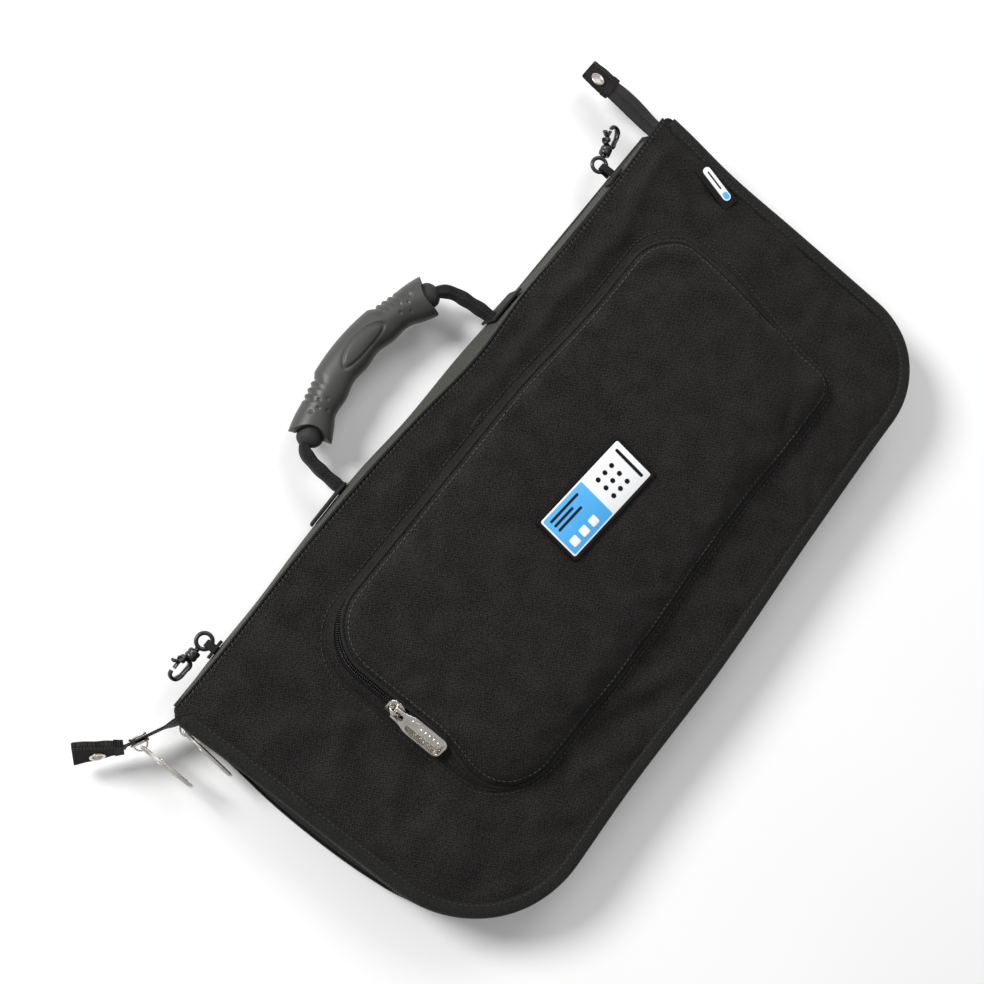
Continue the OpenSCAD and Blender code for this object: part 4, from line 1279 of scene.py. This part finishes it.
rings = []
for angle in np.linspace(-CORE_ANGLE, CORE_ANGLE, 90):
    past = max(abs(angle) - (CORE_ANGLE - 2.6), 0) / 2.6
    radius = CORE_R * math.sqrt(max(1 - past**2, 0.0)) * 0.96 + 0.3
    wave = 1 + 0.02 * np.sin(3 * turn + angle)
    rings.append(on_arch(angle, outer * radius * wave, upper * radius * wave))
dress(loft("handle_core_tube", rings, True, "cap", flip=True), CORE, "handle", "padding",
      ["handle_core"])

# Straps: folded webbing from inside each end of the core down to the spine
LOBES = oval(1, 1, 28)
groove = 1 - 0.16 * np.exp(-((LOBES[:, 0] / 0.33) ** 2))
strap = points_at(3.7 * np.sign(LOBES[:, 0]) * np.abs(LOBES[:, 0]) ** 0.75,
                  6.4 * groove * np.sign(LOBES[:, 1]) * np.abs(LOBES[:, 1]) ** 0.8)
STRAP_KNOTS = ([(45, 159.4), (52, 156.4), (58, 151.6), (61.3, 145), (63.0, 136), (64.2, 128),
                (64.8, 119.5)],
               [(-58.6, 159.8), (-66, 158), (-71, 154.4), (-73.4, 147), (-74.3, 138), (-74.6, 129),
                (-74.7, 119.5)])
parts = []
for knots in STRAP_KNOTS:
    path = curve([(x, y, MID_Z) for x, y in knots], 70)
    swell = 1 + 0.05 * np.sin(path[:, 1] * 0.55) - 0.12 * smooth((path[:, 1] - 150) / 8)
    parts.append(sweep("strap", path, strap[None] * swell[:, None, None]))
    for rise in (-1, 1):          # seam of the folded edge, on top and below
        parts.append(stitches("s", path[26:] + [0, 0, rise * 5.45], (0, 0, rise), 3.0, 2.2, 0.7))
dress(merged("handle_straps", parts), STRAP, slot="binding_tape", stands_for=["handle_strap"],
      blend=HANDLE_BLEND)


def spine_pad(name, x0, x1, z0, z1, lift):
    """Flat patch lying on the spine's outside."""
    x = np.linspace(x0, x1, 22)
    rows = [spine_point(x, up_spine(z), lift) for z in np.linspace(z0, z1, 14)]
    return thicken(loft(name, rows, False), 1.5)


def box_stitch(name, x0, x1, z0, z1, lift):
    """Square of stitches with a cross, on the spine's outside."""
    corners_at = [(x0, z0), (x1, z0), (x1, z1), (x0, z1)]
    runs = [(corners_at[i], corners_at[(i + 1) % 4]) for i in range(4)]
    runs += [(corners_at[0], corners_at[2]), (corners_at[1], corners_at[3])]
    parts = []
    for (xa, za), (xb, zb) in runs:
        t = np.linspace(0.03, 0.97, 20)
        x, z = xa + (xb - xa) * t, za + (zb - za) * t
        parts.append(stitches(name, spine_point(x, up_spine(z), lift), (0, 1, 0), 2.6, 2.0, 0.7))
    return merged(name, parts)


parts, threads = [], []
for x0, x1, sewn_from, sewn_to in ((-101.5, -72, -98, -81), (61, 87.5, 70, 84.5)):
    parts.append(spine_pad("pad", x0, x1, MID_Z - 10.5, MID_Z + 10.5, 3.0))
    threads.append(box_stitch("sewn", sewn_from, sewn_to, MID_Z - 7.5, MID_Z + 7.5, 3.1))
dress(merged("handle_strap_pads", parts), STRAP, "back_half", "binding_tape", ["handle_anchors"])
dress(merged("handle_pad_stitches", threads), PALE_THREAD, "back_half", "binding_tape")


# ------------------------------------------------------------------ zipper tails

def ribbon(name, path, widths, wide, thickness):
    """Flat tape along a path, its width lying along wide at each point."""
    widths = np.broadcast_to(np.asarray(widths, float), len(path))
    sections = np.stack([strap_section(w, thickness) for w in widths])
    return sweep(name, path, sections, np.cross(np.gradient(path, axis=0), wide))


def leaning(ahead, degrees):
    """Width directions for a tape heading level along ahead, leaning from upright."""
    a = np.radians(degrees)[:, None]
    side = np.cross(ahead, (0, 0, 1))
    return np.cos(a) * np.array([0, 0, 1.0]) + np.sin(a) * side


EYELET = [(2.8, -1.9), (3.05, -2.3), (3.6, -2.5), (4.25, -2.35), (4.7, -1.8), (4.5, -1.55), (3.5, -1.5),
          (3.5, 1.5), (4.5, 1.55), (4.7, 1.8), (4.25, 2.35), (3.6, 2.5), (3.05, 2.3), (2.8, 1.9)]
EYELET_OFF = -4.4


def tail(side, root, tape, end, ahead, length, widths, leans, eye):
    """Zipper tail: a tape with its coil, from the bag's corner outwards, and a folded cloth end
    with stitched edges and an eyelet. tape is (path, width, leans)."""
    body = side + "_tail"
    path, width, tape_leans = tape
    first = unit(path[-1] - path[0])
    blend = ("back_half", body, root - first * 3, root + first * 3)
    wide = leaning(first, tape_leans)
    dress(ribbon(side + "_tail_strip", path, width, wide, 1.0), ZIP_TAPE, None, "zip_coil",
          [side + "_tail_tape"], blend)
    normal = unit(np.cross(np.gradient(path, axis=0), wide))
    halves = [coil("c", path[8:] + normal[8:] * 0.35 * k, normal[8:] * k, 1.7, 0.5, 1.35, 0.28)
              for k in (-1, 1)]
    dress(merged(side + "_tail_coil", halves), COIL, None, "zip_coil", (), blend)

    def on_end(points):
        s, across, out = np.asarray(points, float).T
        t = np.clip(s / length, -0.1, 1)
        lean = np.interp(t, [0, eye / length, 1], leans)
        wide = leaning(ahead, lean)
        normal = np.cross(ahead, wide)
        sag = 0.5 * np.sin(t * math.pi) * smooth(np.abs(s - eye) / 8)
        across = across * np.interp(t, [0, 0.3, 1], [widths[0] / widths[1], 1, 1])
        return end + s[:, None] * ahead + across[:, None] * wide + (out + sag)[:, None] * normal

    half = widths[1] / 2
    hole = oval(3.4, 3.4, 24) + [eye, EYELET_OFF]
    flap = slab("flap", rounded_loop(-1, length, -half, half, (1, 1.2, 1.2, 1),
                                     (14, 3, 18, 3, 14, 3, 18, 3)), 3.0, [hole], 0.9, 3, 1.9)
    hem = slab("hem", rounded_loop(-1.6, 3.6, -half, half, (0.9,) * 4, (12, 2, 4, 2, 12, 2, 4, 2)),
               4.4, (), 1.1, 3, 1.9)
    for piece in (flap, hem):
        set_points(piece, on_end(points_of(piece)))
    dress(merged(side + "_tail_flap", [flap, hem]), COVER, body, "cover_cloth", [side + "_tail_end"])
    rows = []
    for face in (-1, 1):
        for edge in (half - 1.7, half - 3.5, 1.7 - half):
            s = np.linspace(1, length - 1.2, 20)
            s = s[np.hypot(s - eye, edge - EYELET_OFF) > 5.6] if edge < 0 else s
            if len(s) > 3:
                line = on_end(points_at(s, edge, face * 1.5))
                up = unit(line - on_end(points_at(s, edge, 0)))
                rows.append(stitches("s", line, up, 1.9, 1.5, 0.6, 0.5))
    dress(merged(side + "_tail_stitches", rows), PALE_THREAD, body, "binding_tape")
    centre = on_end([[eye, EYELET_OFF, 0]])[0]
    out = on_end([[eye, EYELET_OFF, 1]])[0] - centre
    dress(placed(lathe(side + "_tail_eyelet", EYELET, 40), centre, ahead, out), NICKEL, body,
          "nickel", [side + "_eyelet"])


def heading(degrees):
    a = math.radians(degrees)
    return np.array([math.cos(a), math.sin(a), 0.0])


root = pivot("left_tail_bend")
ahead = heading(154)
s = np.linspace(-6, 31.5, 60)
path = root + s[:, None] * ahead
path[:, 2] += 0.5 * np.sin(s / 9)
tape_leans = 17 - 11 * smooth((s + 1) / 9) + 11 * smooth((s - 29) / 3)
tail("left", root, (path, 16.6 - 1.2 * smooth(s / 30), tape_leans),
     root + 31.2 * ahead + 1.2 * heading(136), heading(136), 26, (17.5, 20.5), (17, 25, 33), 13)

root = pivot("right_tail_bend")
s = np.linspace(-7, 34.4, 64)
path = root + s[:, None] * heading(90)
path[:, 0] -= 1.2 * smooth(1 - s / 30)
path[:, 2] += 0.8 * np.sin(np.clip(s, 0, 34) / 34 * math.pi)
tape_leans = 112 - 6 * np.sin(np.clip(s / 34, 0, 1) * math.pi)
tail("right", root, (path, 16.2 + 0.4 * smooth(s / 30), tape_leans),
     root + 34.2 * heading(90), heading(90), 19, (17.2, 18.5), (112, 114, 119), 10)


# ------------------------------------------------------------------ snap hooks

EYE_R = 4.6
COLLAR = [(1.75, 0), (3.0, 0), (3.55, 0.5), (3.75, 1.4), (3.75, 2.4), (3.3, 2.9), (3.75, 3.4),
          (3.75, 4.6), (3.5, 5.4), (2.9, 6), (1.75, 6)]
COLLAR_X = 7
GATE_X = 16.3
GATE_Y = 3.8


def hook_parts(side):
    """Eye, swivelling hook and spring gate, along X with the gate on the +Y side."""
    a = np.arange(40) * 2 * math.pi / 40
    ring = points_at(EYE_R * np.cos(a), EYE_R * np.sin(a), 0)
    eye = sweep("ring", ring, oval(1.25, 1.2, 12), closed=True)
    post = sweep("post", [(x, 0, 0) for x in (5.3, 7, 9)], oval(1.55, 1.55, 16))
    foot = lathe("foot", [(0.2, 0), (2.1, 0), (2.35, 0.3), (2.35, 0.9), (2.1, 1.2), (0.2, 1.2)], 24)
    placed(foot, (9.2, 0, 0), (0, 1, 0), (1, 0, 0))
    eye = merged(side + "_hook_ring", [eye, post, foot])

    collar = placed(lathe("collar", COLLAR, 36), (COLLAR_X, 0, 0), (0, 1, 0), (1, 0, 0))
    path = curve([(14.2, 4.5, 0), (14.0, 1, 0), (14.1, -2.2, 0), (15.4, -3.9, 0), (19, -4.1, 0),
                  (23.6, -3.9, 0), (26.4, -2.2, 0), (27.0, 0.6, 0), (26.0, 3.0, 0), (24.0, 3.95, 0)],
                 90)
    t = np.linspace(0, 1, len(path))
    size = 1 - 0.22 * smooth((t - 0.82) / 0.18) - 0.12 * np.sin(math.pi * t * 3) ** 2
    frame_bar = sweep("bar", path, oval(1.3, 2.05, 16)[None] * size[:, None, None])
    knuckle = [sweep("k", [(GATE_X - 0.4, GATE_Y, z), (GATE_X - 0.4, GATE_Y, z + 0.7)],
                     oval(1.5, 1.5, 16), (1, 0, 0)) for z in (-2.35, 1.65)]
    hook = merged(side + "_hook_frame", [collar, frame_bar] + knuckle)

    path = curve([(GATE_X - 0.6, GATE_Y, 0), (18, GATE_Y + 0.25, 0), (20, GATE_Y + 0.15, 0),
                  (22.2, GATE_Y - 0.15, 0)], 30)
    bar = sweep("gate", path, oval(0.85, 1.45, 14))
    lever = curve([(17.9, GATE_Y, 0), (18.3, GATE_Y + 2.2, 0), (19.3, GATE_Y + 4.3, 0)], 16)
    swell = 1 + 0.25 * np.sin(np.linspace(0, 3, len(lever)))
    thumb = sweep("lever", lever, oval(0.75, 1.35, 12)[None] * swell[:, None, None])
    tip_size = np.array([0.55, 0.95, 1.05, 0.95, 0.55])
    tip = sweep("tip", [(19.15, GATE_Y + 4.1, z) for z in (-1.6, -1.2, 0, 1.2, 1.6)],
                oval(1, 1, 12)[None] * tip_size[:, None, None], (1, 0, 0))
    gate = merged(side + "_hook_lever", [bar, thumb, tip])
    return eye, hook, gate


for side, turn in (("left", 178), ("right", 14)):
    at = pivot(side + "_hook_swing")
    gate_axis = JOINTS[side + "_gate"]["axis"]
    for piece, node in zip(hook_parts(side), ("_hook_eye", "_hook_body", "_hook_gate")):
        placed(piece, at, heading(turn), (0, 0, 1) if node == "_hook_eye" else -np.array(gate_axis))
        dress(piece, PLASTIC, side + node, "hook_plastic", [side + node])

parts = []
for side in ("left", "right"):
    x, y, z = pivot(side + "_hook_swing")
    parts.append(spine_pad("pad", x - 6, x + 6, z - 5.5, z + 5, 2.6))
    loop = curve([(x, y - 9.4, z + 3.0), (x, y - 6, z + 2.7), (x, y - 2.4, z + 1.6), (x, y - 1.5, z),
                  (x, y - 2.4, z - 1.6), (x, y - 6, z - 2.7), (x, y - 9.4, z - 3.0)], 40)
    parts.append(ribbon("loop", loop, 4.8, (1, 0, 0), 1.2))
dress(merged("hook_webbing", parts), STRAP, "back_half", "binding_tape", ["hook_loops"])


# ------------------------------------------------------------------ inside

def inner_outline(node):
    """Outline of a layer inside the bag, from its CAD box."""
    lo, hi = corners(node)
    inset = HALF_L - hi[0]
    return rounded_loop(lo[0], hi[0], lo[1], hi[1], (FAR_LEFT_R - inset, FAR_RIGHT_R - inset, 4, 4),
                        (14, 16, 40, 14, 16, 4, 44, 4))


for node, body in (("back_foam", "back_half"), ("front_foam", "front_cover")):
    lo, hi = corners(node)
    pad = slab(node + "_pad", inner_outline(node), hi[2] - lo[2] - 0.5, (), 1.2, 3, 12)
    p = points_of(pad)
    p[:, 2] += (lo[2] + hi[2]) / 2 + 0.2 * ripple(p[:, 0], p[:, 1], 25, 3.0)
    set_points(pad, p)
    dress(pad, FOAM, body, "padding", [node])

for node, body, face in (("back_lining", "back_half", 1), ("front_lining", "front_cover", -1)):
    lo, hi = corners(node)
    outline = inner_outline(node)
    flat, tris = fill(outline, 6)
    inner = hi[2] if face > 0 else lo[2]
    gap = edge_gap(*flat.T)
    puff = 0.35 * ripple(*flat.T, 34, 8.0) + 0.15 * ripple(*flat.T, 11, 1.0)
    z = inner + face * (puff - 0.35) * smooth((gap - 5) / 12)
    if face < 0:
        tris = [t[::-1] for t in tris]
    sheet = refine(make(node + "_cloth", np.c_[flat, z], tris, flat))
    dress(thicken(sheet, 0.7), LINING, body, "lining_cloth", [node])
    edge = points_at(*outline.T, inner + face * 0.2)
    dress(sweep(node + "_edge_tape", edge, oval(1.6, 0.9, 10), closed=True), TAPE, body,
          "binding_tape")

# Stick sleeve: four soft channels, open at the label end of the bag
sleeve_lo, sleeve_hi = corners("stick_sleeve")
CHANNELS = 4
PITCH = (sleeve_hi[1] - sleeve_lo[1] - 1.2) / CHANNELS
y0 = sleeve_lo[1] + 0.6
floor_z = corners("back_lining")[1][2] + 0.2


def sleeve_height(x, y):
    """Height of the sleeve's cloth over the lining."""
    f = np.clip((y - y0) / PITCH, 0, CHANNELS - 1e-6)
    arch = (1 - np.abs(2 * (f % 1) - 1) ** 2.4) ** 0.62
    closed_end = smooth((x - sleeve_lo[0]) / 30)
    slack = 0.86 + 0.14 * smooth((x - 10) / 50)
    wrinkle = 0.5 * ripple(x, y, 16, 6.0) + 0.35 * np.sin(x / 7 + 3 * np.sin(y / 19))
    return 0.5 + closed_end * arch * (15.4 * slack + wrinkle - 0.6)


xs = np.linspace(sleeve_lo[0], sleeve_hi[0], 150)
ys = np.linspace(y0, y0 + PITCH * CHANNELS, 24 * CHANNELS + 1)
gx, gy = np.meshgrid(xs, ys)
height = sleeve_height(gx.ravel(), gy.ravel()).reshape(gx.shape)
rows = points_at(gx, gy, floor_z + height)
sheet = thicken(loft("stick_sleeve_cloth", rows, False), 0.8)
dress(sheet, LINING, "back_half", "lining_cloth", ["stick_sleeve"])
hem = rows[:, -3] + [0, 0, 0.3]
dress(ribbon("stick_sleeve_hem", hem, 9, (1, 0, 0), 1.0), TAPE, "back_half", "binding_tape")
seam_z = floor_z + 0.75
lines = [points_at(xs[2:-2], y0 + PITCH * k, seam_z) for k in range(CHANNELS + 1)]
lines.append(points_at(sleeve_lo[0] + 1.5, np.linspace(y0, y0 + PITCH * CHANNELS, 60), seam_z))
seams = [stitches("s", line, (0, 0, 1), 3.4, 2.4, 0.9) for line in lines]
dress(merged("stick_sleeve_stitches", seams), PALE_THREAD, "back_half", "binding_tape")

# Flat pocket inside the cover, open towards the spine
pocket_lo, pocket_hi = corners("cover_pocket")
COVER_POCKET_COUNTS = (30, 5, 60, 5, 30, 1, 60, 1)
SEWN_SIDES = sum(COVER_POCKET_COUNTS[:5]) + 1
outline = rounded_loop(pocket_lo[0], pocket_hi[0], pocket_lo[1], pocket_hi[1], (10, 10, 1, 1),
                       COVER_POCKET_COUNTS)
flat, tris = fill(outline, 6)
side_gap = np.minimum(pocket_hi[0] - np.abs(flat[:, 0]), flat[:, 1] - pocket_lo[1])
sag = smooth(side_gap / 24) * (1.1 + 0.9 * smooth((flat[:, 1] - 10) / 50))
sag = sag + 0.3 * ripple(*flat.T, 26, 9.0) * smooth(side_gap / 12)
cloth_z = corners("front_lining")[0][2] - 0.5
sheet = refine(make("cover_pocket_cloth", np.c_[flat, cloth_z - sag], [t[::-1] for t in tris], flat))
inside_tree = surface_of(sheet)
dress(thicken(sheet, 0.7), LINING, "front_cover", "lining_cloth", ["cover_pocket"])
hem = points_at(np.linspace(pocket_lo[0] + 1, pocket_hi[0] - 1, 90), pocket_hi[1] - 2)
hem = drape(inside_tree, hem)[0]
dress(ribbon("cover_pocket_hem", hem + [0, 0, -0.1], 7, (0, 1, 0), 1.2), TAPE, "front_cover",
      "binding_tape")
seam = rounded_loop(pocket_lo[0] + 2, pocket_hi[0] - 2, pocket_lo[1] + 2, pocket_hi[1] - 4,
                    (9, 9, 1, 1), COVER_POCKET_COUNTS)[:SEWN_SIDES]
seam = drape(inside_tree, seam)[0]
sew("cover_pocket_stitches", seam + [0, 0, -0.55], (0, 0, -1), "front_cover", PALE_THREAD,
    pitch=3.2, length=2.4, width=0.8)


# ------------------------------------------------------------------ floor, light and camera

def floor_material():
    material, tree, shader = new_material("floor_paper", Roughness=0.9, Specular_IOR_Level=0.1)
    where = add(tree, "ShaderNodeTexCoord").outputs["Object"]
    tree.links.new(between(tree, noise_of(tree, where, 2.0), (0.90, 0.90, 0.90), (0.93, 0.93, 0.93)),
                   shader.inputs["Base Color"])
    return material


FLOOR_HALF = 4000
FLOOR_Z = -1.45
floor = make("floor", [(x * FLOOR_HALF, y * FLOOR_HALF, FLOOR_Z)
                       for x, y in ((-1, -1), (1, -1), (1, 1), (-1, 1))], [(0, 1, 2, 3)])
floor.data.materials.append(floor_material())

world = bpy.data.worlds.new("studio")
bpy.context.scene.world = world
world.use_nodes = True
world.node_tree.nodes["Background"].inputs["Color"].default_value = (1, 1, 1, 1)
world.node_tree.nodes["Background"].inputs["Strength"].default_value = 0.45


def area_light(name, place, target, size, power):
    data = bpy.data.lights.new(name, "AREA")
    data.shape = "DISK"
    data.size = size
    data.energy = power
    lamp = bpy.data.objects.new(name, data)
    bpy.context.scene.collection.objects.link(lamp)
    lamp.location = Vector(place)
    lamp.rotation_mode = "QUATERNION"
    lamp.rotation_quaternion = (Vector(target) - Vector(place)).to_track_quat("-Z", "Y")


area_light("key", (-0.35, 1.65, 1.4), (-0.03, 0, 0.02), 0.7, 44)
area_light("fill", (1.2, 0.5, 1.5), (0.05, 0, 0.02), 0.9, 10)

LENS = 55.6
CAMERA_PLACE = Vector((-0.2330, 0.1560, 0.8955))
CAMERA_TARGET = Vector((-0.0204, 0.0545, 0.0300))
CAMERA_ROLL = math.radians(38.52)      # heading of the picture's upward direction

camera_data = bpy.data.cameras.new("camera")
camera_data.lens = LENS
camera_data.sensor_width = 36
camera_data.clip_start = 0.05
camera = bpy.data.objects.new("camera", camera_data)
bpy.context.scene.collection.objects.link(camera)
bpy.context.scene.camera = camera
forward = (CAMERA_TARGET - CAMERA_PLACE).normalized()
picture_up = Vector((math.cos(CAMERA_ROLL), math.sin(CAMERA_ROLL), 0))
right = forward.cross(picture_up).normalized()
camera.matrix_world = Matrix.Translation(CAMERA_PLACE) @ Matrix(
    (right, right.cross(forward), -forward)).transposed().to_4x4()
bpy.context.scene.view_settings.view_transform = "Standard"
